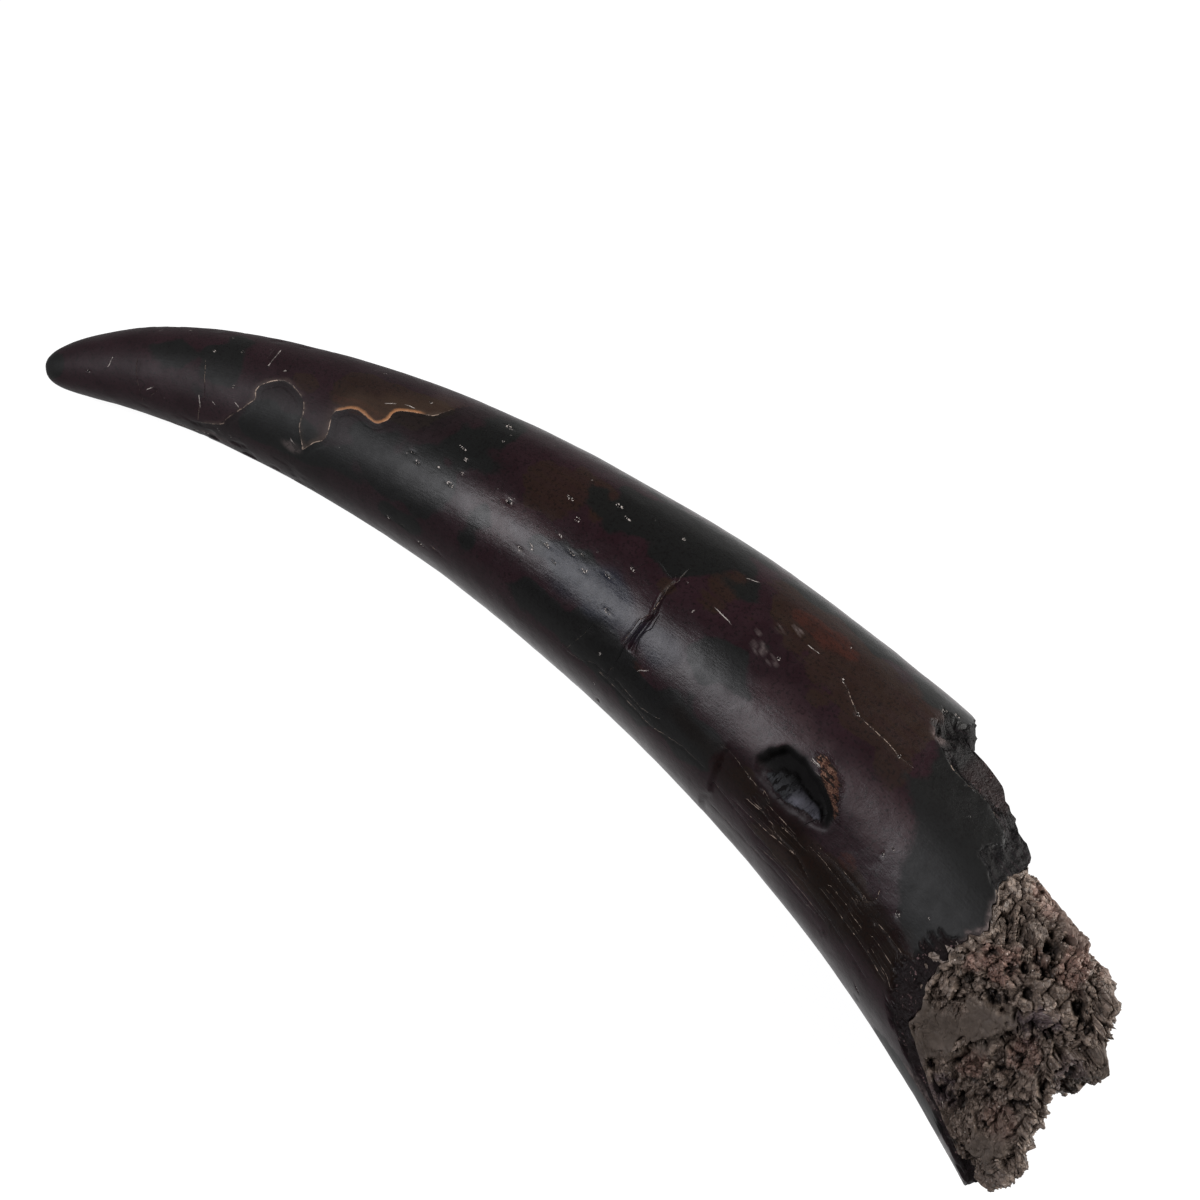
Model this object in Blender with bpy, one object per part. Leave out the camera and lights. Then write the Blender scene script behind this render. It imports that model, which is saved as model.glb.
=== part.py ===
"""Fossil tusk of a deinothere, lying on its side.

Two pieces: the horn of dentine, broken off at its root, and the sandy stone that fills its
pulp cavity and shows where the dentine has gone.

Metres, +Z up. The tip points to -X, the root to +X, and the tusk bows towards +Y. The origin
is under the middle of the whole, on the surface that the tusk lies on. A place on the tusk is
given by its length along the spine from the tip, and by its angle round the spine: 0 degrees
is the convex side, 90 the top, 180 the concave side and 270 the belly.
"""

import math

import bmesh
import bpy
import numpy as np

# The spine, seen from above: a Bezier curve from the tip to the root.
SPINE_TIP = (-0.2164, -0.0248)
SPINE_TIP_HANDLE = (-0.1554, 0.0352)
SPINE_ROOT_HANDLE = (0.0646, 0.0557)
SPINE_ROOT = (0.2281, -0.0203)

# The horn: its half width at the root, and how it narrows to the tip.
ROOT_HALF_WIDTH = 0.050
TAPER_POWER = 0.39
TAPER_SWELL = 0.22
HEIGHT_TO_WIDTH = 0.94
BELLY_FLAT = 0.0009
TIP_ROUND = 0.012
TIP_LIFT = 0.005
TIP_LIFT_LENGTH = 0.200
UNDULATION = 0.0005
UNDULATION_CELL = 0.045
UNDULATION_START = 0.060

# The broken rim of the dentine: degrees round the spine, length from the tip.
RIM = (
    (-30.0, 0.344),
    (-8.0, 0.341),
    (12.0, 0.3465),
    (21.0, 0.3490),
    (30.0, 0.3498),
    (36.0, 0.3507),
    (43.0, 0.3522),
    (49.0, 0.3588),
    (54.0, 0.3712),
    (60.0, 0.3760),
    (66.0, 0.3828),
    (69.0, 0.3900),
    (77.5, 0.3922),
    (82.0, 0.391),
    (87.0, 0.391),
    (94.0, 0.3946),
    (104.0, 0.399),
    (113.5, 0.3965),
    (135.0, 0.401),
    (144.0, 0.404),
    (155.0, 0.409),
    (164.0, 0.424),
    (172.0, 0.441),
    (178.0, 0.454),
    (186.0, 0.461),
    (196.0, 0.459),
    (210.0, 0.450),
    (225.0, 0.438),
    (240.0, 0.421),
    (255.0, 0.404),
    (270.0, 0.388),
    (290.0, 0.368),
    (310.0, 0.352),
    (330.0, 0.344),
)
RIM_JAG = 0.0016
RIM_JAG_CELL = 9.0
RIM_LIP = 0.0008
RIM_SLOPE = 0.0045
RIM_SLOPE_REACH = 100.0

# A spalled ledge runs along the rim on the convex side, where the outer layer has gone.
SPALL_WIDTH = 0.0085
SPALL_DEPTH = 0.0010
SPALL_MIDDLE = 60.0
SPALL_REACH = 15.0
SPALL_EDGE = 0.0006

# Layers of dentine that have flaked off: a scar with a wavy edge near the tip, and a smaller
# one on the concave flank.
TIP_SCAR_DEPTH = 0.0006
TIP_SCAR_SPAN = (0.040, 0.155)
TIP_SCAR_FADES = (0.008, 0.050)
TIP_SCAR_EDGE = 100.0
TIP_SCAR_WAVE = 14.0
TIP_SCAR_WAVE_LENGTH = 0.0217
TIP_SCAR_SOFTNESS = 6.0
TIP_SCAR_BACK = (185.0, 215.0)
FLANK_SCAR_DEPTH = 0.0010
FLANK_SCAR_START = 0.3085
FLANK_SCAR_STEP = 0.002
FLANK_SCAR_FADE = (0.010, 0.055)
FLANK_SCAR_MIDDLE = 176.0
FLANK_SCAR_REACH = 30.0

# Wear on the convex side of the tip.
TIP_WEAR_DEPTH = 0.0006
TIP_WEAR_PLACE = 0.024
TIP_WEAR_LENGTH = 0.016
TIP_WEAR_ANGLE = 50.0
TIP_WEAR_REACH = 26.0

# The pulp cavity and the stone in it.
CAVITY_APEX = 0.300
CAVITY_OPENING = 0.025
WALL = 0.0042
STONE_GAP = 0.0006
STONE_BARE = (0.001, 0.008)
STONE_BIG_LUMP = 0.0020
STONE_BIG_CELL = 0.022
STONE_SMALL_LUMP = 0.0014
STONE_SMALL_CELL = 0.010
STONE_SINK = 0.0012
STONE_FALL = 0.0035
STONE_FALL_LENGTH = 0.080
STONE_EDGE_ROUND = 0.009
SHORTEST_SIDE = 0.008

# The stone's flat flank on the convex side: length from the tip, distance from the spine.
STONE_FLANK = (
    (0.335, 0.050),
    (0.345, 0.038),
    (0.371, 0.0245),
    (0.392, 0.0188),
    (0.412, 0.0163),
    (0.428, 0.0172),
    (0.440, 0.0152),
    (0.452, 0.0085),
    (0.470, 0.0080),
)
FLANK_CORNER_POWER = 4.0
FLANK_LEAN = 0.45
FLANK_START = 0.006

# The stone's broken end: distance across the spine, length from the tip.
STONE_END = (
    (-0.050, 0.4696),
    (-0.044, 0.4680),
    (-0.037, 0.4662),
    (-0.034, 0.4640),
    (-0.028, 0.4570),
    (-0.022, 0.4530),
    (-0.018, 0.4480),
    (-0.0135, 0.4460),
    (-0.0100, 0.4495),
    (-0.007, 0.4515),
    (-0.0035, 0.4505),
    (-0.0015, 0.4455),
    (0.001, 0.4430),
    (0.0045, 0.4410),
    (0.008, 0.4390),
    (0.0110, 0.4355),
    (0.016, 0.4335),
    (0.024, 0.4315),
)
STONE_END_MIDDLE = 0.445
STONE_END_LUMP = 0.0017
STONE_END_CELL = 0.012

# A ledge across the stone: beyond it the surface drops.
LEDGE_PLACE = 0.424
LEDGE_SLANT = 0.00012
LEDGE_DROP = 0.0045
LEDGE_STEP = 0.003
LEDGE_ANGLE = 128.0
LEDGE_REACH = 40.0

# Hollows cut in the horn: length from the tip and angle of the middle, reach along the spine,
# reach in degrees round it, depth, and how flat the floor is.
HOLLOWS = {
    "deep_pit": (0.3305, 125.0, 0.0140, 11.0, 0.0048, 1.7),
    "cross_crack": (0.2572, 111.0, 0.0013, 26.0, 0.0020, 1.0),
    "rim_chip": (0.3450, 47.0, 0.0080, 9.0, 0.0022, 1.0),
}
HOLLOW_COLUMNS = 16
HOLLOW_ROWS = 10

# The grids that the two pieces are shaped from.
COLUMNS = 56
OUTER_ROWS = 44
RIM_ROWS = (0.0092, 0.0086, 0.0040, 0.0)
CAVITY_ROWS = 8
CAVITY_ROW_SPREAD = 1.4
STONE_ROWS = 18
END_ROWS = 7
TIP_ROWS = (0.0004, 0.0016, 0.0036, 0.0066, 0.0108)
LAST_BODY_RING = 0.0132
EVEN_LENGTH = 0.400

DENTINE_COLOUR = (0.020, 0.016, 0.016)
STONE_COLOUR = (0.095, 0.072, 0.058)


def lattice_value(corner, seed):
    """Give each whole-number corner of a lattice its own steady value from 0 to 1."""
    mixed = corner[..., 0] * 73856093 ^ corner[..., 1] * 19349663 ^ corner[..., 2] * 83492791
    mixed = mixed ^ (seed * 26544357)
    mixed = (mixed ^ (mixed >> 13)) * 1274126177
    return ((mixed ^ (mixed >> 16)) & 0xFFFF) / 65535.0


def lumps(points, cell, seed):
    """Smooth lumps from -1 to 1, about a cell across, from the corners of a lattice."""
    scaled = points / cell
    corner = np.floor(scaled).astype(np.int64)
    part = scaled - corner
    ease = part * part * (3.0 - 2.0 * part)
    total = np.zeros(points.shape[:-1])
    for step in np.ndindex(2, 2, 2):
        share = np.prod(np.where(np.array(step) == 1, ease, 1.0 - ease), axis=-1)
        total += share * lattice_value(corner + np.array(step), seed)
    return 2.0 * total - 1.0


def bump(value, middle, reach):
    """A round hill: 1 at the middle, 0 from the reach outwards."""
    away = np.clip(np.abs(value - middle) / reach, 0.0, 1.0)
    return (1.0 - away * away) ** 2


def rise(value, start, end):
    """A smooth step from 0 at the start to 1 at the end."""
    part = np.clip((value - start) / (end - start), 0.0, 1.0)
    return part * part * (3.0 - 2.0 * part)


def spine_stations():
    """Points along the spine, the length at each and the heading at each."""
    t = np.linspace(0.0, 1.0, 1201)[:, None]
    weights = ((1 - t) ** 3, 3 * (1 - t) ** 2 * t, 3 * (1 - t) * t ** 2, t ** 3)
    handles = (SPINE_TIP, SPINE_TIP_HANDLE, SPINE_ROOT_HANDLE, SPINE_ROOT)
    points = sum(weight * np.array(handle) for weight, handle in zip(weights, handles))
    steps = np.hypot(*np.diff(points, axis=0).T)
    lengths = np.concatenate(([0.0], np.cumsum(steps)))
    headings = np.gradient(points, lengths, axis=0)
    headings /= np.hypot(*headings.T)[:, None]
    return points, lengths, headings


SPINE_POINTS, SPINE_LENGTHS, SPINE_HEADINGS = spine_stations()
SPINE_LENGTH = SPINE_LENGTHS[-1]


def half_width(length):
    """Half the horn's width at a length from the tip."""
    part = np.maximum(length, 0.0) / SPINE_LENGTH
    return ROOT_HALF_WIDTH * part ** TAPER_POWER * (1 + TAPER_SWELL * part) / (1 + TAPER_SWELL)


def axis_height(length):
    """How high the spine runs: the belly lies on the surface and the tip is lifted a little."""
    lift = TIP_LIFT * np.clip(1.0 - length / TIP_LIFT_LENGTH, 0.0, 1.0) ** 2
    return HEIGHT_TO_WIDTH * half_width(np.hypot(length, TIP_ROUND)) + lift - BELLY_FLAT


def place(length, angle, radius):
    """The point at a length along the spine, an angle in degrees round it and a radius."""
    x, y = (np.interp(length, SPINE_LENGTHS, SPINE_POINTS[:, axis]) for axis in (0, 1))
    ahead_x, ahead_y = (np.interp(length, SPINE_LENGTHS, SPINE_HEADINGS[:, axis]) for axis in (0, 1))
    beyond = np.maximum(length - SPINE_LENGTH, 0.0)
    across = radius * np.cos(np.radians(angle))
    up = HEIGHT_TO_WIDTH * radius * np.sin(np.radians(angle))
    height = np.maximum(axis_height(length) + up, 0.0)
    return np.stack((
        x + beyond * ahead_x - ahead_y * across,
        y + beyond * ahead_y + ahead_x * across,
        height,
    ), axis=-1)


def rim_length(angle):
    """Where the dentine ends, for each angle round the spine."""
    angles, lengths = np.array(RIM).T
    turned = (np.asarray(angle) - RIM[0][0]) % 360.0 + RIM[0][0]
    jag = lumps(np.stack((turned, turned * 0.0, turned * 0.0), axis=-1), RIM_JAG_CELL, 5)
    return np.interp(turned, angles, lengths, period=360.0) + RIM_JAG * jag


def tip_scar(length, angle):
    """1 where the outer layer has flaked off near the tip, inside a wavy edge."""
    edge = TIP_SCAR_EDGE + TIP_SCAR_WAVE * np.sin(math.tau * length / TIP_SCAR_WAVE_LENGTH)
    across = rise(angle, edge - TIP_SCAR_SOFTNESS, edge + TIP_SCAR_SOFTNESS)
    across *= 1.0 - rise(angle, *TIP_SCAR_BACK)
    start, end = TIP_SCAR_SPAN
    fade_in, fade_out = TIP_SCAR_FADES
    return across * rise(length, start, start + fade_in) * (1.0 - rise(length, end, end + fade_out))


def flank_scar(length, angle):
    """1 just past the step on the concave flank, fading out towards the root."""
    beyond = length - FLANK_SCAR_START
    along = rise(beyond, 0.0, FLANK_SCAR_STEP) * (1.0 - rise(beyond, *FLANK_SCAR_FADE))
    return bump(angle, FLANK_SCAR_MIDDLE, FLANK_SCAR_REACH) * along


def tip_wear(length, angle):
    """1 in the middle of the worn spot at the tip."""
    return bump(length, TIP_WEAR_PLACE, TIP_WEAR_LENGTH) * bump(angle, TIP_WEAR_ANGLE, TIP_WEAR_REACH)


def rim_spall(length, angle):
    """1 on the ledge that runs along the rim."""
    to_rim = rim_length(angle) - length
    along = 1.0 - rise(to_rim, SPALL_WIDTH, SPALL_WIDTH + SPALL_EDGE)
    return along * bump(angle, SPALL_MIDDLE, SPALL_REACH)


def outer_radius(length, angle):
    """The horn's radius with its worn, flaked and gently uneven surface."""
    turned = np.asarray(angle) % 360.0
    radius = half_width(length)
    uneven = lumps(place(length, angle, radius), UNDULATION_CELL, 11) * rise(length, 0.0, UNDULATION_START)
    relief = UNDULATION * uneven
    relief -= TIP_SCAR_DEPTH * tip_scar(length, turned)
    relief -= FLANK_SCAR_DEPTH * flank_scar(length, turned)
    relief -= TIP_WEAR_DEPTH * tip_wear(length, turned)
    relief -= SPALL_DEPTH * rim_spall(length, turned)
    return radius + relief


def cavity_radius(length):
    """The pulp cavity's radius: a blunt cone that soon runs parallel to the outside."""
    depth = np.maximum(length - CAVITY_APEX, 0.0)
    return (half_width(length) - WALL) * np.sqrt(1.0 - np.exp(-depth / CAVITY_OPENING))


def stone_flank(length, angle, rough):
    """The radius at which the stone's flat flank cuts it, far out where it faces away."""
    lengths, distances = np.array(STONE_FLANK).T
    lean = 1.0 - FLANK_LEAN * np.clip(-np.sin(np.radians(angle)), 0.0, 1.0)
    distance = (np.interp(length, lengths, distances) + rough) * lean
    return distance / np.maximum(np.cos(np.radians(angle)), 0.02)


def stone_radius(length, angle):
    """The stone's radius: it fills the cavity, and past the rim it has worn back in lumps."""
    turned = np.asarray(angle) % 360.0
    past_rim = length - rim_length(angle)
    bare = rise(past_rim, *STONE_BARE)
    filled = cavity_radius(length) - STONE_GAP
    spot = place(length, angle, filled)
    big = lumps(spot, STONE_BIG_CELL, 21)
    small = lumps(spot, STONE_SMALL_CELL, 22)
    rough = bare * (STONE_BIG_LUMP * big + STONE_SMALL_LUMP * small)
    ledge = LEDGE_PLACE + LEDGE_SLANT * (LEDGE_ANGLE - turned)
    drop = LEDGE_DROP * rise(length, ledge, ledge + LEDGE_STEP) * bump(turned, LEDGE_ANGLE, LEDGE_REACH)
    fall = STONE_FALL * rise(past_rim, 0.0, STONE_FALL_LENGTH)
    radius = filled + rough - bare * (STONE_SINK + fall + drop)
    flank = stone_flank(length, angle, 0.8 * rough)
    power = FLANK_CORNER_POWER
    cut = (radius ** -power + flank ** -power) ** (-1.0 / power)
    radius = radius + (cut - radius) * rise(past_rim, 0.0, FLANK_START)
    return np.where(past_rim < RIM_LIP * 2.0, np.minimum(radius, filled), radius)


def stone_end(across, height):
    """How far the stone reaches at a distance across the spine: two lobes and a notch."""
    distances, lengths = np.array(STONE_END).T
    spot = np.stack((across, height, across * 0.0), axis=-1)
    return np.interp(across, distances, lengths) + STONE_END_LUMP * lumps(spot, STONE_END_CELL, 31)


def sphere_mesh(name, columns, rows):
    """A sphere primitive of radius 1, as a mesh and an array of its points."""
    mesh = bpy.data.meshes.new(name)
    shape = bmesh.new()
    bmesh.ops.create_uvsphere(shape, u_segments=columns, v_segments=rows, radius=1.0)
    shape.to_mesh(mesh)
    shape.free()
    return mesh, np.array([vertex.co for vertex in mesh.vertices])


def ringed_sphere(name, rows):
    """A sphere primitive, with the row and the angle of each of its points."""
    mesh, points = sphere_mesh(name, COLUMNS, rows)
    row = np.rint(np.arccos(np.clip(-points[:, 2], -1.0, 1.0)) / math.pi * rows).astype(int)
    angle = np.degrees(np.arctan2(points[:, 1], points[:, 0])) + 180.0 / COLUMNS
    return mesh, row, angle % 360.0


def finish_piece(name, mesh, points, material, collection):
    """Put the shaped points into the mesh and make it a named piece."""
    mesh.vertices.foreach_set("co", points.astype(np.float32).ravel())
    mesh.update()
    mesh.materials.append(material)
    mesh.shade_smooth()
    piece = bpy.data.objects.new(name, mesh)
    collection.objects.link(piece)
    return piece


def horn_length(row, angle):
    """The length from the tip of each row on the horn's outside."""
    tip_rows = len(TIP_ROWS)
    last_body_row = OUTER_ROWS - len(RIM_ROWS)
    rim = rim_length(angle)
    part = np.clip((row - tip_rows) / (last_body_row - tip_rows), 0.0, 1.0)
    straight = TIP_ROWS[-1] + part * (EVEN_LENGTH - TIP_ROWS[-1])
    body = straight + part ** 3 * (rim - LAST_BODY_RING - EVEN_LENGTH)
    tip = np.array((0.0,) + TIP_ROWS)[np.minimum(row, tip_rows)]
    rim_row = np.clip(row - last_body_row - 1, 0, len(RIM_ROWS) - 1)
    near_rim = rim - np.array(RIM_ROWS)[rim_row]
    return np.where(row <= tip_rows, tip, np.where(row <= last_body_row, body, near_rim))


def cavity_length(part, angle):
    """The length from the tip at a part of the way from the cavity's apex to its broken mouth."""
    from_convex = (np.asarray(angle) + 180.0) % 360.0 - 180.0
    slope = RIM_SLOPE * bump(from_convex, 0.0, RIM_SLOPE_REACH)
    mouth = rim_length(angle) + RIM_LIP + slope
    return CAVITY_APEX + part ** CAVITY_ROW_SPREAD * (mouth - CAVITY_APEX)


def make_horn(material, collection):
    """The dentine: a closed sock, outside from tip to rim, then back down the cavity wall."""
    rows = OUTER_ROWS + CAVITY_ROWS
    mesh, row, angle = ringed_sphere("tusk", rows)
    length = horn_length(row, angle)
    outside = place(length, angle, outer_radius(length, angle))
    part = np.clip((rows - row) / (CAVITY_ROWS - 1), 0.0, 1.0)
    inside_length = cavity_length(part, angle)
    inside = place(inside_length, angle, cavity_radius(inside_length))
    points = np.where((row <= OUTER_ROWS)[:, None], outside, inside)
    return finish_piece("tusk", mesh, points, material, collection)


def cut_hollows(horn, material, collection):
    """Cut each hollow with a sphere that is laid over the horn's surface and flattened."""
    for name, (length, angle, reach, turn, depth, flatness) in HOLLOWS.items():
        mesh, ball = sphere_mesh(name, HOLLOW_COLUMNS, HOLLOW_ROWS)
        lengths = length + reach * ball[:, 0]
        angles = angle - turn * ball[:, 1]
        sink = depth * np.clip(flatness * ball[:, 2], -1.0, 1.0)
        points = place(lengths, angles, outer_radius(lengths, angles) + sink)
        cutter = finish_piece(name, mesh, points, material, collection)
        cutter.hide_render = True
        cutter.display_type = "WIRE"
        cut = horn.modifiers.new(name, "BOOLEAN")
        cut.operation = "DIFFERENCE"
        cut.solver = "EXACT"
        cut.object = cutter


def stone_side(part, angle):
    """Length and radius of the bare stone, from the cavity's mouth to the turn of its end."""
    mouth = cavity_length(1.0, angle)
    radius = stone_radius(np.full(len(angle), STONE_END_MIDDLE), angle)
    across = radius * np.cos(np.radians(angle))
    height = radius * np.sin(np.radians(angle))
    corner = stone_end(across, height) - STONE_EDGE_ROUND
    start = np.minimum(mouth, corner - SHORTEST_SIDE)
    length = start + part * (corner - start)
    return length, stone_radius(length, angle)


def stone_cap(turn, angle):
    """Length and radius of the stone's end, from its rounded edge to its middle."""
    edge_radius = stone_side(1.0, angle)[1]
    inset = edge_radius * turn
    radius = edge_radius - inset
    across = radius * np.cos(np.radians(angle))
    height = radius * np.sin(np.radians(angle))
    lean = np.clip(1.0 - inset / STONE_EDGE_ROUND, 0.0, 1.0)
    fall = STONE_EDGE_ROUND * (1.0 - np.sqrt(1.0 - lean ** 2))
    return stone_end(across, height) - fall, radius


def make_stone(material, collection):
    """The stone: in the cavity, then bare past the rim, then its broken end."""
    mouth_row = CAVITY_ROWS - 1
    mesh, row, angle = ringed_sphere("matrix_fill", mouth_row + STONE_ROWS + END_ROWS)
    inner_length = cavity_length(np.clip(row / mouth_row, 0.0, 1.0), angle) + STONE_GAP * (row == 0)
    inner_radius = np.maximum(cavity_radius(inner_length) - STONE_GAP, 0.0) * (row > 0)
    side_length, side_radius = stone_side(np.clip((row - mouth_row) / STONE_ROWS, 0.0, 1.0), angle)
    turn = np.clip((row - mouth_row - STONE_ROWS) / END_ROWS, 0.0, 1.0)
    cap_length, cap_radius = stone_cap(turn, angle)
    where_it_is = [row < mouth_row, turn > 0.0]
    length = np.select(where_it_is, [inner_length, cap_length], side_length)
    radius = np.select(where_it_is, [inner_radius, cap_radius], side_radius)
    return finish_piece("matrix_fill", mesh, place(length, angle, radius), material, collection)


def make_material(name, colour, roughness):
    """A plain material of one colour."""
    material = bpy.data.materials.new(name)
    material.use_nodes = True
    shader = material.node_tree.nodes["Principled BSDF"]
    shader.inputs["Base Color"].default_value = (*colour, 1.0)
    shader.inputs["Roughness"].default_value = roughness
    shader.inputs["Metallic"].default_value = 0.0
    material.diffuse_color = (*colour, 1.0)
    return material


def main():
    """Clear the scene, then make the two pieces."""
    for old in list(bpy.data.objects):
        bpy.data.objects.remove(old, do_unlink=True)
    parts = bpy.data.collections.new("deinothere_tusk")
    bpy.context.scene.collection.children.link(parts)
    cutters = bpy.data.collections.new("cutters")
    bpy.context.scene.collection.children.link(cutters)
    dentine = make_material("dentine", DENTINE_COLOUR, 0.28)
    horn = make_horn(dentine, parts)
    cut_hollows(horn, dentine, cutters)
    make_stone(make_material("matrix", STONE_COLOUR, 0.85), parts)


main()
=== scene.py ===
"""Looks of a fossil deinothere tusk that lies on its side on a pale table.

The horn of dark, polished dentine, the coarse stone that fills its root, and the loose-looking
grains that stick out of that stone.

Metres, +Z up. The tip points to -X, the root to +X, and the tusk bows towards +Y. A place on the
tusk is given by its length along the spine from the tip, and by its angle round the spine:
0 degrees is the convex side, 90 the top, 180 the concave side and 270 the belly. Tables of marks
give the length in millimetres.
"""

import itertools
import math
from types import SimpleNamespace

import bpy
import numpy as np
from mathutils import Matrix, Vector


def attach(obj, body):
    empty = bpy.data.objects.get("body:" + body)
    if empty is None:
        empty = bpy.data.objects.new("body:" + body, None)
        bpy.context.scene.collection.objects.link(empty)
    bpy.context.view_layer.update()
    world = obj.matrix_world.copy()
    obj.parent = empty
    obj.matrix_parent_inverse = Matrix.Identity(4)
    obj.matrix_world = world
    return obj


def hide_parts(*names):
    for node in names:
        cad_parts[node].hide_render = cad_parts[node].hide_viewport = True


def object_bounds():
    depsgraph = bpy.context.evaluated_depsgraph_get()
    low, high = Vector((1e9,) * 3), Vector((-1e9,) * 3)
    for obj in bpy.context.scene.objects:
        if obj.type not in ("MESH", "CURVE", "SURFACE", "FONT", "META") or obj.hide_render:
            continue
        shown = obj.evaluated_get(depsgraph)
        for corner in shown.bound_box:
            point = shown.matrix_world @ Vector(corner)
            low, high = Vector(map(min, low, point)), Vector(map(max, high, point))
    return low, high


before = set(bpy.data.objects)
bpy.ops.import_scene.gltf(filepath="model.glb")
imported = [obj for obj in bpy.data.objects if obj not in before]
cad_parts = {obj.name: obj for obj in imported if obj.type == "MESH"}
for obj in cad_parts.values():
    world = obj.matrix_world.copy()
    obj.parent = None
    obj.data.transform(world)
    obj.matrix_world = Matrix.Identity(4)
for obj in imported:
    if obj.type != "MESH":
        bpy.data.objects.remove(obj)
CAD_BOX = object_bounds()
BOX_MARGIN = 0.0001

# ---------------------------------------------------------------- the form of the horn

SPINE = ((-0.2164, -0.0248), (-0.1554, 0.0352), (0.0646, 0.0557), (0.2281, -0.0203))
ROOT_HALF_WIDTH = 0.050
TAPER_POWER = 0.39
TAPER_SWELL = 0.22
HEIGHT_TO_WIDTH = 0.94
BELLY_FLAT = 0.0009
TIP_ROUND = 0.012
TIP_LIFT = 0.005
TIP_LIFT_LENGTH = 0.200
UNDULATION = 0.0005
UNDULATION_CELL = 0.045
UNDULATION_START = 0.060

# Layers of lumps, here and below: how high each layer stands and how far across its lumps are.
RIPPLES = ((0.00012, 0.012), (0.00005, 0.0036))

# The broken rim of the dentine: degrees round the spine, length from the tip. Its jags are so
# many degrees across.
RIM = (
    (-30, 0.344), (-8, 0.341), (12, 0.3465), (21, 0.3490), (30, 0.3498), (36, 0.3507), (43, 0.3522),
    (49, 0.3588), (54, 0.3712), (60, 0.3760), (66, 0.3828), (69, 0.3900), (77.5, 0.3922),
    (82, 0.391), (87, 0.391), (94, 0.3946), (104, 0.399), (113.5, 0.3965), (135, 0.401),
    (144, 0.404), (155, 0.409), (164, 0.424), (172, 0.441), (178, 0.454), (186, 0.461),
    (196, 0.459), (210, 0.450), (225, 0.438), (240, 0.421), (255, 0.404), (270, 0.388),
    (290, 0.368), (310, 0.352), (330, 0.344),
)
RIM_JAGS = ((0.0016, 9.0), (0.0010, 2.2))
BROKEN_EDGE_ROUGH = ((0.0012, 0.0034), (0.0006, 0.0015))
RIM_LIP = 0.0008
RIM_SLOPE = 0.0045
RIM_SLOPE_REACH = 100.0
SPALL_WIDTH = 0.0085
SPALL_DEPTH = 0.0006
SPALL_MIDDLE = 60.0
SPALL_REACH = 15.0
SPALL_EDGE = 0.0006

# ---------------------------------------------------------------- marks on the horn

# Where the outer layer of dentine ends near the tip: it is missing on the side of larger angles.
FLAKE_EDGE = (
    (69.8, 161), (79.7, 152), (81.2, 142), (86.9, 127), (88.9, 120), (90.8, 114), (89.4, 108),
    (90.5, 100), (95.1, 93), (98.6, 90), (103.6, 94), (108.0, 100), (110.4, 109), (110.4, 120),
    (112.0, 128), (114.0, 135), (114.8, 142), (117.2, 132), (121.9, 124), (122.3, 116),
    (120.3, 101), (123.8, 96), (127.1, 92), (131.7, 93), (134.8, 96), (137.7, 96), (139.2, 92),
    (140.3, 90), (140.1, 82), (142.5, 79), (146.6, 76), (150.8, 74), (153.3, 72), (156.0, 62),
)
FLAKE_DEPTH = 0.00018
FLAKE_SOFTNESS = 0.0004
FLAKE_FADE = 0.020
FLAKE_REACH = 0.045

# Where the polished surface ends short of the rim: past it the dentine is broken and rough.
BREAK_EDGE = (
    (354.0, 28), (350.5, 41), (345.5, 47), (343.5, 56), (347.5, 63.5), (352.5, 66.5), (358.5, 69.6),
    (365.8, 69.4), (371.5, 68.8), (380.5, 73.5), (385.0, 78), (380.5, 82.5), (381.4, 87),
    (387.5, 90.5), (393.0, 93), (397.0, 99), (400.5, 104), (397.5, 112), (393.3, 118), (390.5, 126),
    (392.0, 133), (389.5, 139), (395.0, 148), (399.9, 158), (408.0, 163), (417.0, 168),
    (432.0, 171.5), (450.0, 177), (462.0, 186), (458.0, 200),
)
BREAK_DEPTH = 0.0006
BREAK_SLOPE = 0.10
BREAK_ROUGH = 0.0013
BREAK_CELL = 0.0027
BREAK_WOBBLE = ((0.0009, 0.0045), (0.0005, 0.0018))
BREAK_FRINGE = 0.0030
BREAK_REACH = 0.030
BREAK_FACET = ((354, 63), (357.5, 50), (367, 48), (375, 55), (377, 66), (370, 67.5), (360, 67.5))

# The step on the concave flank, where another layer has gone on the root's side.
FLANK_EDGE = ((308.5, 177), (307.8, 166), (309.5, 160), (307.6, 154), (306.1, 143))
FLANK_DEPTH = 0.0009
FLANK_FADE = 0.050
FLANK_REACH = 0.060

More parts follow.
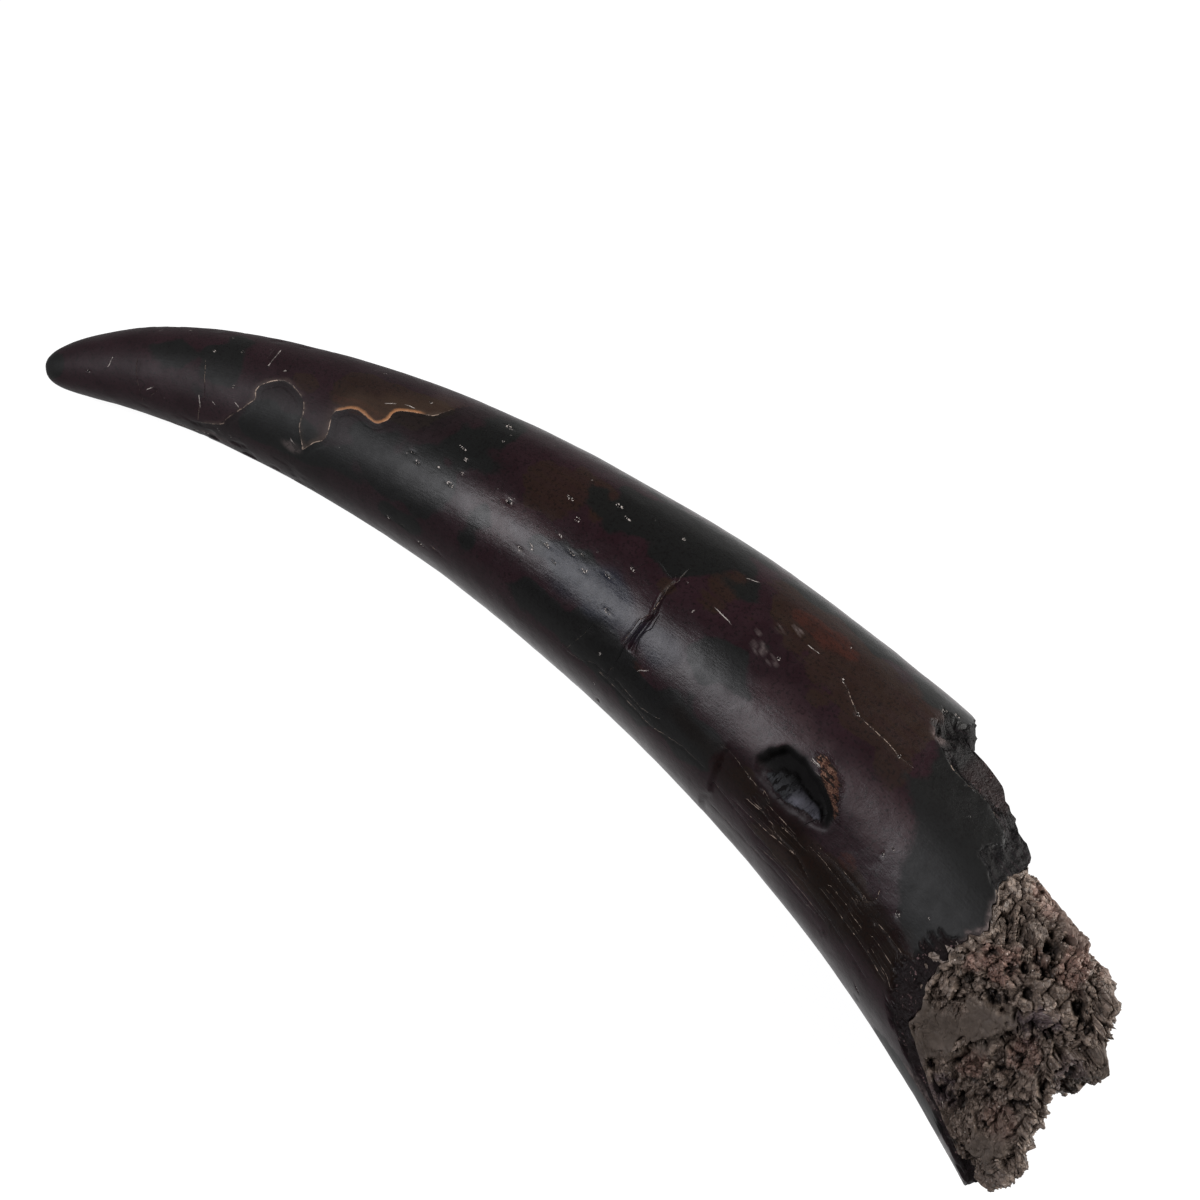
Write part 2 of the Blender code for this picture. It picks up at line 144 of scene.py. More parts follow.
# Cracks and seams: how strong, how pale (1 pale dust in them, -1 dark), and their points.
CRACKS = (
    (1.0, 0.5, ((40.2, 104), (40.6, 119), (41.3, 128), (43.5, 155))),
    (0.8, 0.7, ((47.8, 145), (50.3, 137))),
    (0.5, 0.5, ((66.7, 93), (69.1, 113), (70.7, 130), (69.2, 138), (68.5, 158))),
    (1.0, 0.9, ((256.9, 78), (256.9, 86), (255.6, 90), (256.4, 96), (256.6, 101), (257.2, 106))),
    (1.0, -1.0, ((258.2, 104), (258.2, 110), (256.5, 114), (257.1, 121), (256.7, 129), (257.3, 138))),
    (0.7, 0.6, ((256.6, 109), (255.2, 114), (255.4, 121), (255.2, 128))),
    (0.9, 0.9, ((391.0, 90.5), (394.0, 94), (397.0, 99))),
    (0.9, -1.0, ((259.7, 106), (260.4, 113), (258.9, 119), (260.2, 125), (261.1, 129))),
    (0.6, -0.6, ((242.2, 96), (243.7, 92), (245.0, 88), (247.7, 83), (252.7, 86), (255.1, 87))),
    (0.8, 0.1, ((243.1, 131), (242.0, 139), (238.2, 158), (247.4, 154), (249.0, 150),
                (256.4, 149), (256.9, 144))),
    (0.6, 0.3, ((260.0, 148), (272.9, 151), (280.6, 148))),
    (0.7, 0.6, ((175.2, 157), (180.5, 160))),
    (0.8, 0.6, ((316.6, 74), (319.7, 76), (327.2, 82), (331.3, 82), (336.2, 82), (340.5, 82),
                (344.9, 83), (349.5, 82))),
    (1.0, 0.9, ((354.6, 67.5), (358.5, 69.6), (363.0, 69.6), (367.0, 69.0), (371.5, 68.6), (376.0, 71))),
    (1.0, 1.0, ((374.0, 68.5), (380.5, 72.5), (385.0, 76))),
    (1.0, -1.0, ((328.4, 133), (329.1, 129), (328.6, 126), (329.6, 122))),
    (0.9, -1.0, ((329.2, 130), (331.1, 131), (333.4, 130), (335.7, 131))),
    (1.0, -1.0, ((340.4, 132), (341.7, 127), (342.7, 123))),
    (0.5, -0.6, ((330.0, 158), (352.0, 155), (371.0, 158), (388.0, 160))),
    (0.6, 0.4, ((334.0, 161), (349.0, 160), (366.0, 161))),
    (0.6, 0.5, ((346.0, 139), (352.0, 139), (361.0, 140), (372.0, 141))),
    (0.5, 0.5, ((322.0, 141), (335.0, 147), (343.0, 147))),
    (0.6, 0.5, ((383.0, 148), (392.0, 149), (396.5, 152))),
    (0.9, 0.6, ((316.0, 136), (322.6, 135), (325.5, 136))),
    (0.9, 0.7, ((320.6, 145), (327.1, 144), (333.5, 145))),
    (0.9, 0.6, ((327.1, 139), (339.5, 140))),
    (1.0, 0.7, ((335.9, 142), (346.0, 142))),
    (1.0, 0.8, ((317.0, 152), (333.3, 150), (345.8, 148), (351.8, 151))),
    (0.9, 0.6, ((348.7, 136), (357.4, 135), (367.1, 135), (370.2, 135))),
    (0.9, 0.7, ((359.2, 145), (367.3, 145), (375.2, 146))),
    (1.0, 0.9, ((358.1, 150), (368.6, 151), (378.8, 151), (392.6, 152))),
    (0.9, 0.6, ((379.6, 144), (390.8, 144))),
    (0.9, 0.6, ((375.3, 138), (389.7, 137))),
    (1.0, 0.7, ((368.0, 139), (370.8, 136), (371.9, 131), (370.8, 128))),
    (0.8, 0.4, ((254.0, 152), (279.0, 156), (293.1, 150), (302.4, 150))),
    (0.7, 0.3, ((302.8, 133), (306.7, 133), (325.0, 137))),
    (0.6, 0.2, ((308.5, 153.5), (330.0, 157), (345.0, 158))),
    (0.6, 0.3, ((311.6, 170), (335.0, 166), (362.0, 163))),
)
CRACK_DEPTH = 0.00022
CRACK_HALF_WIDTH = 0.0007
CRACK_END = 0.0015
LINE_REACH = 0.003

# The open crack across the horn.
CROSS_CRACK = ((256.9, 86), (256.0, 96), (258.0, 108), (258.2, 114), (258.0, 121), (258.6, 128))
CROSS_CRACK_DEPTH = 0.0012
CROSS_CRACK_HALF_WIDTH = 0.0010
CROSS_CRACK_END = 0.004

# Pale scratches and chips: how strong, and their points.
SCRATCHES = (
    (1.0, ((28.5, 115), (29.8, 103))), (1.0, ((90, 59), (89.9, 80))), (0.7, ((136, 79), (139, 76))),
    (0.7, ((142.3, 73), (146, 73))), (0.9, ((272.2, 86), (278.6, 87))), (0.6, ((272, 61), (276, 58))),
    (0.7, ((301.5, 71), (305.2, 71))), (1.0, ((209, 115.6), (211, 116.2))),
    (1.0, ((208.9, 115), (210.7, 115.5))), (1.0, ((209.3, 116.2), (210.9, 116.8))),
    (0.6, ((68.2, 129), (69.4, 141))), (0.5, ((74, 130), (75.6, 133))), (0.6, ((83, 124), (85.2, 127))),
    (0.7, ((109, 136), (111, 139))), (0.5, ((44.5, 50), (43.6, 54))), (0.5, ((54, 48), (55.4, 50))),
    (0.6, ((46, 139), (48.5, 134))), (0.9, ((213.4, 110), (214.6, 110))),
    (0.7, ((327.4, 109), (331.6, 109))), (0.7, ((328.4, 112), (332.6, 112))),
    (0.6, ((329.6, 115), (333.4, 115))), (0.7, ((265.5, 134), (268, 131))),
)
SCRATCH_END = 0.0006

# Small pits: length, angle, half width in millimetres.
PITS = (
    (152.8, 106, 0.7), (157.8, 108, 0.8), (164.9, 104, 0.9), (172.4, 110, 1.1), (174.1, 100, 0.7),
    (172.1, 91, 0.9), (168.8, 85, 0.6), (176.3, 51, 1.6), (194.1, 101, 1.0), (191.7, 114, 0.7),
    (189.7, 121, 0.8), (169.3, 130, 0.7), (169.7, 142, 0.8), (210.5, 80, 0.7), (218.7, 90, 0.8),
    (216.7, 53, 0.7), (209.9, 117, 1.2), (213.8, 110, 0.9), (216.7, 121, 0.8), (229.9, 110, 0.9),
    (223.3, 106, 0.7), (229.5, 98, 0.9), (216.0, 102, 0.7), (206.8, 121, 0.8), (244.6, 120, 0.8),
    (240.0, 114, 0.7), (310.3, 55, 0.8), (379.6, 128, 1.2), (386.6, 119, 0.9), (389.3, 171, 0.9),
    (401.4, 157, 1.0), (352.4, 120, 0.6), (362.9, 116, 0.6), (372.0, 118, 0.6), (20.0, 125, 0.6),
    (60.0, 184, 1.3), (66.0, 182, 1.1), (71.0, 179, 1.4), (56.0, 190, 1.0), (203.8, 189, 1.8),
    (209.0, 188, 1.6), (257.0, 176, 1.5), (343.2, 46, 1.8), (346.7, 41, 1.4), (385.0, 100, 0.5),
    (316.6, 74, 0.8), (327.2, 82, 0.9), (344.9, 83, 0.8), (366.2, 66, 0.9), (193.7, 100, 0.9),
    (217.6, 89, 0.8), (225.0, 67, 0.9), (226.1, 104, 0.9), (237.1, 105, 0.9), (243.0, 95, 0.9),
    (247.0, 89, 0.9), (177.6, 158, 0.9), (170.8, 162, 0.8), (200.5, 99, 0.7), (232.9, 129, 0.9),
    (230.8, 72, 0.8), (268.1, 70, 0.7), (273.8, 60, 0.7), (155.5, 157, 0.8), (161.4, 156, 0.8),
    (219.4, 116, 1.0), (216.5, 106, 0.8), (154.3, 103, 0.8),
)
PIT_DEPTH = 0.0004
PIT_SHRINK = 0.75

# Rings left by small shells: length, angle, half width in millimetres.
RINGS = ((291.1, 88, 2.1), (296.8, 89, 1.5), (291.4, 74, 1.4), (295.7, 68, 1.3), (288.0, 82, 1.0))
RING_HEIGHT = 0.00025

# The deep pit: its outline, and the sliver of its floor that catches the light, where a pale reflection is
# also painted.
DEEP_PIT = (
    (314.5, 127), (315.5, 119), (319.5, 113.0), (326.0, 111.0), (333.0, 113), (339.0, 116),
    (345.0, 121.5), (347.0, 128), (341.5, 132.5), (334.0, 134), (325.0, 136), (318.5, 133.5),
)
PIT_FLOOR = (
    (320.0, 129), (322.5, 123.5), (327.0, 120.5), (332.0, 122.5), (337.5, 122.5), (343.0, 126.5),
    (341.0, 129.5), (336.5, 129.5), (331.0, 131.5), (325.5, 132),
)
# Between these angles the pit gets steep; how deep it is on either side, and its floor's plates.
PIT_STEEP_SIDE = (134.0, 118.0)
PIT_DEPTHS = (0.0004, 0.0048, 0.0004)
PIT_WALL = 0.0026
PIT_CELL = 0.0042
# The least painted shade in the deep pit, on its gentle side.
PIT_LEAST_SHADE = 0.26
PLATE_GAP = 0.0005

# The flaky scrape beside the pit, and the chunk that is missing from the rim: outline, depth.
SCRAPE = (
    (327.5, 107), (331.5, 103.5), (337.0, 106.5), (341.5, 112), (346.5, 121), (343.5, 122.5),
    (337.0, 116), (331.0, 110),
)
SCRAPE_DEPTH = 0.0005
RIM_CHIP = ((342.5, 58), (344.5, 50), (343, 45), (349, 42.5), (353, 47), (351, 56), (347, 61.5))
RIM_CHIP_DEPTH = 0.0016

# Shallow hollows: length from the tip, angle, reach along and round, depth.
TIP_WEAR = (0.022, 42.0, 0.019, 34.0, 0.0004)
ROOT_HOLLOW = (0.368, 130.0, 0.054, 48.0, 0.0034)
FLANK_WEAR = 0.0007
FLANK_WEAR_PLACE = (0.075, 0.065)
WORN_SPOTS = ((1.0, 0.0052), (0.5, 0.0020))
WORN_SHARE = (0.25, 0.55)

# How ragged the outlines of pits and scrapes are, and how soft and uneven patches of colour are.
ROUGH_OUTLINE = ((0.0009, 0.0045), (0.0005, 0.0016))
PATCH_WOBBLE = ((0.50, 0.013), (0.30, 0.0055))
PATCH_FADE = (0.45, 1.15)

# A painted highlight along the broken lip, where its edge catches the light: angle, reach round.
LIP_HIGHLIGHT = (105.0, 14.0)

# Patches: length in millimetres, angle, reach along and round, strength.
ASH = (
    (2, 120, 8, 90, 1.0), (52, 84, 13, 34, 0.9), (73, 92, 15, 44, 0.9), (103, 131, 20, 24, 1.0),
    (152, 118, 30, 34, 1.0), (172, 74, 16, 36, 0.9), (158, 151, 16, 12, 0.8),
    (250, 143, 64, 17, 1.0), (245, 56, 42, 36, 1.0), (288, 106, 15, 10, 0.9), (222, 112, 20, 14, 0.9),
    (425, 182, 36, 16, 1.0), (352, 40, 26, 18, 1.0), (300, 36, 60, 14, 0.8),
)
# The ash-black panel at the root: its border, and how far it takes to fade across the border.
ASH_PANEL = (
    (346.0, 56), (349.0, 65), (351.5, 70.5), (354.4, 81), (350.2, 86.5), (354.5, 91), (359.4, 96),
    (362.5, 97.5), (367.3, 108), (370.2, 115.5), (375.3, 122), (380.3, 129), (391.7, 133),
    (402.0, 130), (412.0, 118), (412.0, 60), (372.0, 48),
)
ASH_PANEL_FADE = 0.009
OLIVE = (
    (104, 86, 9, 10, 0.8), (137, 76, 24, 22, 1.0), (128, 86, 14, 12, 0.8), (208, 72, 17, 24, 0.9),
    (255, 92, 7, 9, 0.7), (270, 74, 12, 18, 0.7), (316, 66, 42, 30, 1.0), (318, 138, 10, 8, 0.8),
    (368, 142, 38, 14, 1.0), (348, 150, 30, 12, 0.8),
)
# Painted light: bluish or plum highlight tints where the highlight falls, and painted shade along the
# root's flank, which faces away from the light.
BLUISH_HIGHLIGHT_TINT = ((236, 116, 36, 14, 1.0), (262, 117, 18, 10, 0.7))
PLUM_HIGHLIGHT_TINT = (
    (200, 112, 26, 15, 1.0), (166, 117, 15, 10, 0.6), (345, 104, 28, 16, 1.0),
    (312, 108, 24, 15, 0.9),
)
# Painted shade on the root's concave flank, where it faces away from the light.
PAINTED_FLANK_SHADE = ((366, 145, 50, 15, 1.0), (326, 142, 26, 10, 0.8), (296, 138, 20, 8, 0.5))
RUST = (
    (306, 60, 20, 9, 0.8), (349, 146, 4, 4, 0.9), (358, 131, 4, 4, 0.7),
    (266, 134, 7, 5, 0.7), (367, 63, 9, 6, 1.0), (348, 61, 4, 4, 0.9), (130, 90, 18, 8, 0.8),
)

# Pale dust: on the broken edge beside the stone, and in chips along the concave flank.
DUST = (
    (425, 170.5, 10, 2.2, 1.0), (72, 176, 12, 5, 0.6), (58, 186, 10, 5, 0.5), (109, 142, 5, 7, 0.5),
    (348, 61, 4, 4, 0.8),
)

# ---------------------------------------------------------------- the stone

CAVITY_APEX = 0.300
CAVITY_OPENING = 0.025
WALL = 0.0042
STONE_GAP = 0.0006
STONE_BARE = (0.001, 0.008)
STONE_LUMPS = ((0.0020, 0.022), (0.0014, 0.010))
STONE_SINK = 0.0012
STONE_FALL = 0.0035
STONE_FALL_LENGTH = 0.080
SPILL = 0.0042
SPILL_START = (-0.0002, 0.0006)
SPILL_MIDDLE = 145.0
SPILL_REACH = 100.0
SPILL_FADE = (0.004, 0.060)
STONE_START = 0.0002
STONE_EDGE_ROUND = 0.009
SHORTEST_SIDE = 0.008
STONE_FLANK = (
    (0.335, 0.050), (0.345, 0.038), (0.371, 0.0245), (0.392, 0.0188), (0.412, 0.0163),
    (0.428, 0.0172), (0.440, 0.0152), (0.452, 0.0085), (0.470, 0.0080),
)
FLANK_CORNER_POWER = 4.0
FLANK_LEAN = 0.45
FLANK_START = 0.006
STONE_END = (
    (-0.050, 0.4696), (-0.044, 0.4680), (-0.037, 0.4662), (-0.034, 0.4640), (-0.028, 0.4570),
    (-0.022, 0.4530), (-0.018, 0.4480), (-0.0135, 0.4460), (-0.0100, 0.4495), (-0.007, 0.4515),
    (-0.0035, 0.4505), (-0.0015, 0.4455), (0.001, 0.4430), (0.0045, 0.4410), (0.008, 0.4390),
    (0.0110, 0.4355), (0.016, 0.4335), (0.024, 0.4315),
)
STONE_END_MIDDLE = 0.445
STONE_END_LUMP = 0.0017
STONE_END_CELL = 0.012
LEDGE_PLACE = 0.424
LEDGE_SLANT = 0.00012
LEDGE_DROP = 0.0045
LEDGE_STEP = 0.003
LEDGE_ANGLE = 128.0
LEDGE_REACH = 40.0

# Clumps: the size of a clump, how far clumps stand apart in height, how steeply they tilt, and
# the crevice between two; then the same for the chips on them and for single grains.
CLUMP = (0.0050, 0.0018, 1.25, 0.0013)
CHIP = (0.0025, 0.0012, 1.05, 0.0006)
GRAIN = (0.0012, 0.0005, 0.70, 0.0002)
GAP_DEPTH = 0.0021
PORE_DEPTH = 0.0038
WARP = 0.0014
WARP_CELL = 0.007
FINE_LUMP = 0.0004
FINE_LUMP_CELL = 0.0030
STONE_FADE_IN = 0.0035
NORMAL_PASSES = 8

# Spots seen from above on the stone, in millimetres: x, y, reach, strength. They fade out down
# its sides between these two heights.
UPPER_SIDE = (0.020, 0.035)
SPOT_WOBBLE = ((0.5, 0.0042), (0.3, 0.0017))
SPOT_FADE = (0.6, 1.1)
PORE_WOBBLE = ((0.6, 0.0024),)
PORE_FADE = (0.35, 1.0)
PINK_SPOTS = (
    (178, 13, 8, 0.8), (190, 9, 9, 0.9), (174, -13, 8, 1.0), (191, -3, 6, 0.9), (201, 5, 4, 0.6),
    (194, -30, 5, 0.7), (185, -39, 4, 0.7), (200, -48, 5, 0.5), (184, -6, 4, 0.5),
)
PURPLE_SPOTS = ((192, -20, 6, 1.0), (181, -51, 6, 0.9), (172, -49, 5, 0.8), (207, -26, 5, 0.6))
MUD_SPOTS = (
    (173, -37, 9, 1.0), (180, -28, 8, 1.0), (201, -55, 6, 0.9), (186, 12, 8, 0.8),
    (214, -19, 6, 0.8), (178, 2, 5, 0.6),
)
PORES = (
    (184, 0, 3), (187, -8, 3.2), (181, -10, 2.2), (178, -22, 3), (199, -11, 2.6),
    (184, -16, 2.4), (186, 4, 2.2), (181, -41, 2.2), (189, -48, 2.6), (205, -34, 2.2),
    (170, -12, 2.0), (196, -22, 2.2), (192, -42, 2.4), (186, -23, 2.6), (206, -7, 2.0),
)

LOOSE_GRAINS = 4200
LOOSE_GRAIN_SIZES = (0.0004, 0.0012)
GRAIN_SEED = 41

# ---------------------------------------------------------------- colours and gloss

DENTINE_SPECULAR = 0.13
DENTINE_ROUGHNESS = 0.24
MAROON = (0.0135, 0.0060, 0.0078)
DEEP_MAROON = (0.0090, 0.0038, 0.0050)
PLUM = (0.0150, 0.0085, 0.0105)
ASH_BLACK = (0.0050, 0.0056, 0.0053)
NEAR_BLACK = (0.0030, 0.0024, 0.0025)
OLIVE_BROWN = (0.0135, 0.0078, 0.0040)
RUST_RED = (0.0260, 0.0075, 0.0050)
AMBER = (0.0310, 0.0198, 0.0132)
BRIGHT_ORANGE = (0.4200, 0.1900, 0.0800)
TAN_DUST = (0.1500, 0.1100, 0.0880)
PALE_TAN = (0.3200, 0.2450, 0.1950)
CHALK = (0.3000, 0.2700, 0.2500)
CRACK_BLACK = (0.0016, 0.0013, 0.0013)
FLAKY_BROWN = (0.0480, 0.0200, 0.0130)
# Painted highlight on the raised ridges of the scrape.
RIDGE_HIGHLIGHT = (0.3400, 0.1900, 0.1300)
PIT_GREY = (0.0130, 0.0135, 0.0150)
# A painted pale reflection on part of the pit's floor.
PIT_FLOOR_REFLECTION = (0.0850, 0.0830, 0.1020)
BROKEN_DARK = (0.0038, 0.0034, 0.0034)
BROKEN_PURPLE = (0.0080, 0.0036, 0.0038)
FACET_MAROON = (0.0085, 0.0040, 0.0040)
# Pale dust, also used for the painted highlight along the broken lip.
PALE_DUST_AND_HIGHLIGHT = (0.1000, 0.0790, 0.0760)
# Painted highlight tints, bluish and plum.
BLUE_HIGHLIGHT = (0.0066, 0.0078, 0.0130)
PLUM_HIGHLIGHT = (0.0250, 0.0140, 0.0155)
# The brown of the painted shade on the root's flank.
FLANK_SHADE_BROWN = (0.0055, 0.0028, 0.0017)
PINK_SPECK = (0.1500, 0.0950, 0.0950)

STONE_SPECULAR = 0.30
STONE_DARK = (0.0420, 0.0300, 0.0235)
STONE_MID = (0.1040, 0.0765, 0.0600)
STONE_PALE = (0.2250, 0.1730, 0.1390)
STONE_PINK = (0.2000, 0.1120, 0.0900)
STONE_PURPLE = (0.0400, 0.0260, 0.0350)
STONE_MUD = (0.0400, 0.0295, 0.0225)
STONE_GLINT = (0.4200, 0.3700, 0.3300)
# Painted shade in the stone's crevices, seams and pores.
STONE_SHADE_DARK = (0.0090, 0.0066, 0.0054)

# ---------------------------------------------------------------- table, camera and lights

TABLE_HALF = 4.0
TABLE_TONE = 0.12
TABLE_GLOW = 0.90
TABLE_FADE = (0.20, 0.50)
TABLE_LOW_GLOW = 0.30
CAMERA_PLACE = (0.1223, -0.1340, 0.5638)
CAMERA_TARGET = (-0.00121, 0.02993, 0.0)
CAMERA_LENS = 50.0
SENSOR = 36.0
LIGHT_TARGET = (0.0, 0.0, 0.03)
ROOM_GREY = 0.5
ROOM_LIGHT = 0.12

# Soft lights: direction from the middle, distance, width and height, power in watts, colour.
LIGHTS = {
    "window": ((-0.50, -0.44, 0.76), 1.60, (0.62, 0.80), 29.0, (0.95, 0.945, 0.985)),
    "ceiling": ((0.66, 0.60, 0.44), 2.20, (2.0, 2.0), 135.0, (1.0, 0.98, 0.96)),
}

# ---------------------------------------------------------------- grids

# Rows along the horn: where each stretch ends, and how many rows it has.
HORN_STRETCHES = ((0.002, 5), (0.036, 36), (0.160, 112), (0.250, 50), (0.264, 24), (0.300, 20))
RIM_STRETCH_ROWS = 132
BROKEN_EDGE_ROWS = 7
CAVITY_ROWS = 6
HORN_COLUMNS = 240
STONE_COLUMNS = 400
STONE_HIDDEN_ROWS = 6
STONE_SIDE_ROWS = 172
STONE_CAP_ROWS = 62
GRAIN_ROWS = slice(STONE_HIDDEN_ROWS + 17, -6)
SHOWN_SIDE = (5.0, 205.0)
SHOWN_SHARE = 0.75

# Lengths below these count as nothing.
TIE = 1e-7
TINY = 1e-12

# ---------------------------------------------------------------- shapes and vertex fields


def lattice_value(corner, seed):
    """Give each whole-number corner of a lattice its own steady value from 0 to 1.

    Every layer of lumps or crumbs below has its own seed, the last number of its call.
    """
    mixed = corner[..., 0] * 73856093 ^ corner[..., 1] * 19349663 ^ corner[..., 2] * 83492791
    mixed = mixed ^ (seed * 26544357)
    mixed = (mixed ^ (mixed >> 13)) * 1274126177
    return ((mixed ^ (mixed >> 16)) & 0xFFFF) / 65535.0


def lumps(points, cell, seed):
    """Smooth lumps from -1 to 1, about a cell across, from the corners of a lattice."""
    scaled = points / cell
    corner = np.floor(scaled).astype(np.int64)
    part = scaled - corner
    ease = part * part * (3.0 - 2.0 * part)
    total = np.zeros(points.shape[:-1])
    for step in np.ndindex(2, 2, 2):
        share = np.prod(np.where(np.array(step) == 1, ease, 1.0 - ease), axis=-1)
        total += share * lattice_value(corner + np.array(step), seed)
    return 2.0 * total - 1.0


def layered(points, layers, seed):
    """Layers of lumps added up; the seed goes up by one from layer to layer."""
    return sum(high * lumps(points, cell, seed + index) for index, (high, cell) in enumerate(layers))


def crumbs(points, cell, seed):
    """Broken clumps: each lattice cell has one centre, and a point belongs to the nearest.

    Gives each point its clump's own value from 0 to 1, how far it lies from the border with the
    next clump (0 at the border, in cells), and its offset from the clump's centre, in cells.
    """
    scaled = points / cell
    corner = np.floor(scaled).astype(np.int64)
    nearest = np.full(points.shape[:-1], np.inf)
    second = nearest.copy()
    value = np.zeros(points.shape[:-1])
    offset = np.zeros(points.shape)
    for step in np.ndindex(3, 3, 3):
        cell_corner = corner + np.array(step) - 1
        shift = np.stack([lattice_value(cell_corner, seed + axis) for axis in range(3)], axis=-1)
        away = scaled - (cell_corner + shift)
        distance = np.sqrt((away ** 2).sum(axis=-1))
        closer = distance < nearest
        second = np.where(closer, nearest, np.minimum(second, distance))
        nearest = np.where(closer, distance, nearest)
        value = np.where(closer, lattice_value(cell_corner, seed + 7), value)
        offset = np.where(closer[..., None], away, offset)
    return value, second - nearest, offset


def bump(value, middle, reach):
    """A round hill: 1 at the middle, 0 from the reach outwards."""
    away = np.clip(np.abs(value - middle) / reach, 0.0, 1.0)
    return (1.0 - away * away) ** 2


def rise(value, start, end):
    """A smooth step from 0 at the start to 1 at the end."""
    part = np.clip((value - start) / (end - start), 0.0, 1.0)
    return part * part * (3.0 - 2.0 * part)


def spine_stations():
    """Points along the spine, a Bezier curve, with the length and the heading at each."""
    t = np.linspace(0.0, 1.0, 1201)[:, None]
    weights = ((1 - t) ** 3, 3 * (1 - t) ** 2 * t, 3 * (1 - t) * t ** 2, t ** 3)
    points = sum(weight * np.array(handle) for weight, handle in zip(weights, SPINE))
    steps = np.hypot(*np.diff(points, axis=0).T)
    lengths = np.concatenate(([0.0], np.cumsum(steps)))
    headings = np.gradient(points, lengths, axis=0)
    headings /= np.hypot(*headings.T)[:, None]
    return points, lengths, headings


SPINE_POINTS, SPINE_LENGTHS, SPINE_HEADINGS = spine_stations()
SPINE_LENGTH = SPINE_LENGTHS[-1]


def half_width(length):
    """Half the horn's width: the root's, times a power of the part of the way along."""
    part = np.maximum(length, 0.0) / SPINE_LENGTH
    return ROOT_HALF_WIDTH * part ** TAPER_POWER * (1 + TAPER_SWELL * part) / (1 + TAPER_SWELL)


def axis_height(length):
    """How high the spine runs: the belly lies on the surface and the tip is lifted a little."""
    lift = TIP_LIFT * np.clip(1.0 - length / TIP_LIFT_LENGTH, 0.0, 1.0) ** 2
    return HEIGHT_TO_WIDTH * half_width(np.hypot(length, TIP_ROUND)) + lift - BELLY_FLAT


def place(length, angle, radius):
    """The point at a length along the spine, an angle in degrees round it and a radius."""
    x, y = (np.interp(length, SPINE_LENGTHS, SPINE_POINTS[:, axis]) for axis in (0, 1))
    ahead_x, ahead_y = (np.interp(length, SPINE_LENGTHS, SPINE_HEADINGS[:, axis]) for axis in (0, 1))
    beyond = np.maximum(length - SPINE_LENGTH, 0.0)
    across = radius * np.cos(np.radians(angle))
    up = HEIGHT_TO_WIDTH * radius * np.sin(np.radians(angle))
    height = np.maximum(axis_height(length) + up, 0.0)
    return np.stack((
        x + beyond * ahead_x - ahead_y * across,
        y + beyond * ahead_y + ahead_x * across,
        height,
    ), axis=-1)


def wrapped(angle):
    """An angle turned into the range from -90, the belly, up to 270, the belly again."""
    return (np.asarray(angle) + 90.0) % 360.0 - 90.0


def rim_length(angle):
    """Where the dentine ends, for each angle round the spine, with its jags."""
    angles, lengths = np.array(RIM).T
    turned = (np.asarray(angle) - RIM[0][0]) % 360.0 + RIM[0][0]
    jag = layered(np.stack((turned, turned * 0.0, turned * 0.0), axis=-1), RIM_JAGS, 5)
    return np.interp(turned, angles, lengths, period=360.0) + jag


def unrolled(length, angle):
    """The horn's surface laid flat: metres along the spine, and metres round it from the top."""
    return np.stack((length, half_width(length) * np.radians(angle - 90.0)), axis=-1)


def rounded(points, passes):
    """A line with its corners cut: each stretch keeps its middle half, over and over."""
    line = np.array(points, dtype=float)
    for _ in range(passes):
        near, far = 0.75 * line[:-1] + 0.25 * line[1:], 0.25 * line[:-1] + 0.75 * line[1:]
        line = np.concatenate((line[:1], np.stack((near, far), axis=1).reshape(-1, 2), line[-1:]))
    return line


def line_distance(flat, points, reach):
    """How far each flat point lies from a line, + on the side of smaller angles.

    For each stretch of the line, the foot of the perpendicular is clipped to the stretch, and the
    nearest stretch wins. The second result is how far a point lies past either end of the line.
    """
    length, angle = np.array(points, dtype=float).T
    knots = unrolled(length / 1000.0, angle)
    distance = np.full(flat.shape[:-1], reach)
    past_end = np.zeros(flat.shape[:-1])
    low, high = knots.min(axis=0) - reach, knots.max(axis=0) + reach
    near = np.all((flat > low) & (flat < high), axis=-1)
    spots = flat[near]
    best = np.full(len(spots), reach)
    turn_at_best = np.zeros(len(spots))
    side = np.ones(len(spots))
    past = np.zeros(len(spots))
    last = len(knots) - 2
    for index, (start, end) in enumerate(zip(knots[:-1], knots[1:])):
        run = end - start
        size = np.hypot(*run)
        along = (spots - start) @ run / size ** 2
        foot = start + np.clip(along, 0.0, 1.0)[:, None] * run
        away = np.hypot(*(spots - foot).T)
        turn = ((spots - start)[:, 0] * run[1] - (spots - start)[:, 1] * run[0]) / size
        tie = (np.abs(away - best) < TIE) & (np.abs(turn) > np.abs(turn_at_best))
        closer = (away < best - TIE) | tie
        before = np.where(index == 0, np.maximum(-along, 0.0), 0.0) * size
        after = np.where(index == last, np.maximum(along - 1.0, 0.0), 0.0) * size
        best = np.where(closer, away, best)
        turn_at_best = np.where(closer, turn, turn_at_best)
        side = np.where(closer, np.where(turn >= 0.0, 1.0, -1.0), side)
        past = np.where(closer, before + after, past)
    distance[near] = best * side
    past_end[near] = past
    return distance, past_end


def marks(flat, family, reach, end_fade):
    """The nearest of several lines: signed distance, how much it shows, and its paleness."""
    distance = np.full(flat.shape[:-1], reach)
    shows = np.zeros(flat.shape[:-1])
    paleness = np.zeros(flat.shape[:-1])
    for strength, pale, points in family:
        here, past = line_distance(flat, points, reach)
        closer = np.abs(here) < np.abs(distance)
        weight = strength * np.clip(1.0 - np.abs(here) / reach, 0.0, 1.0)
        weight *= 1.0 - rise(past, 0.0, end_fade)
        distance = np.where(closer, here, distance)
        shows = np.where(closer, weight, shows)
        paleness = np.where(closer, pale, paleness)
    return distance, shows, paleness


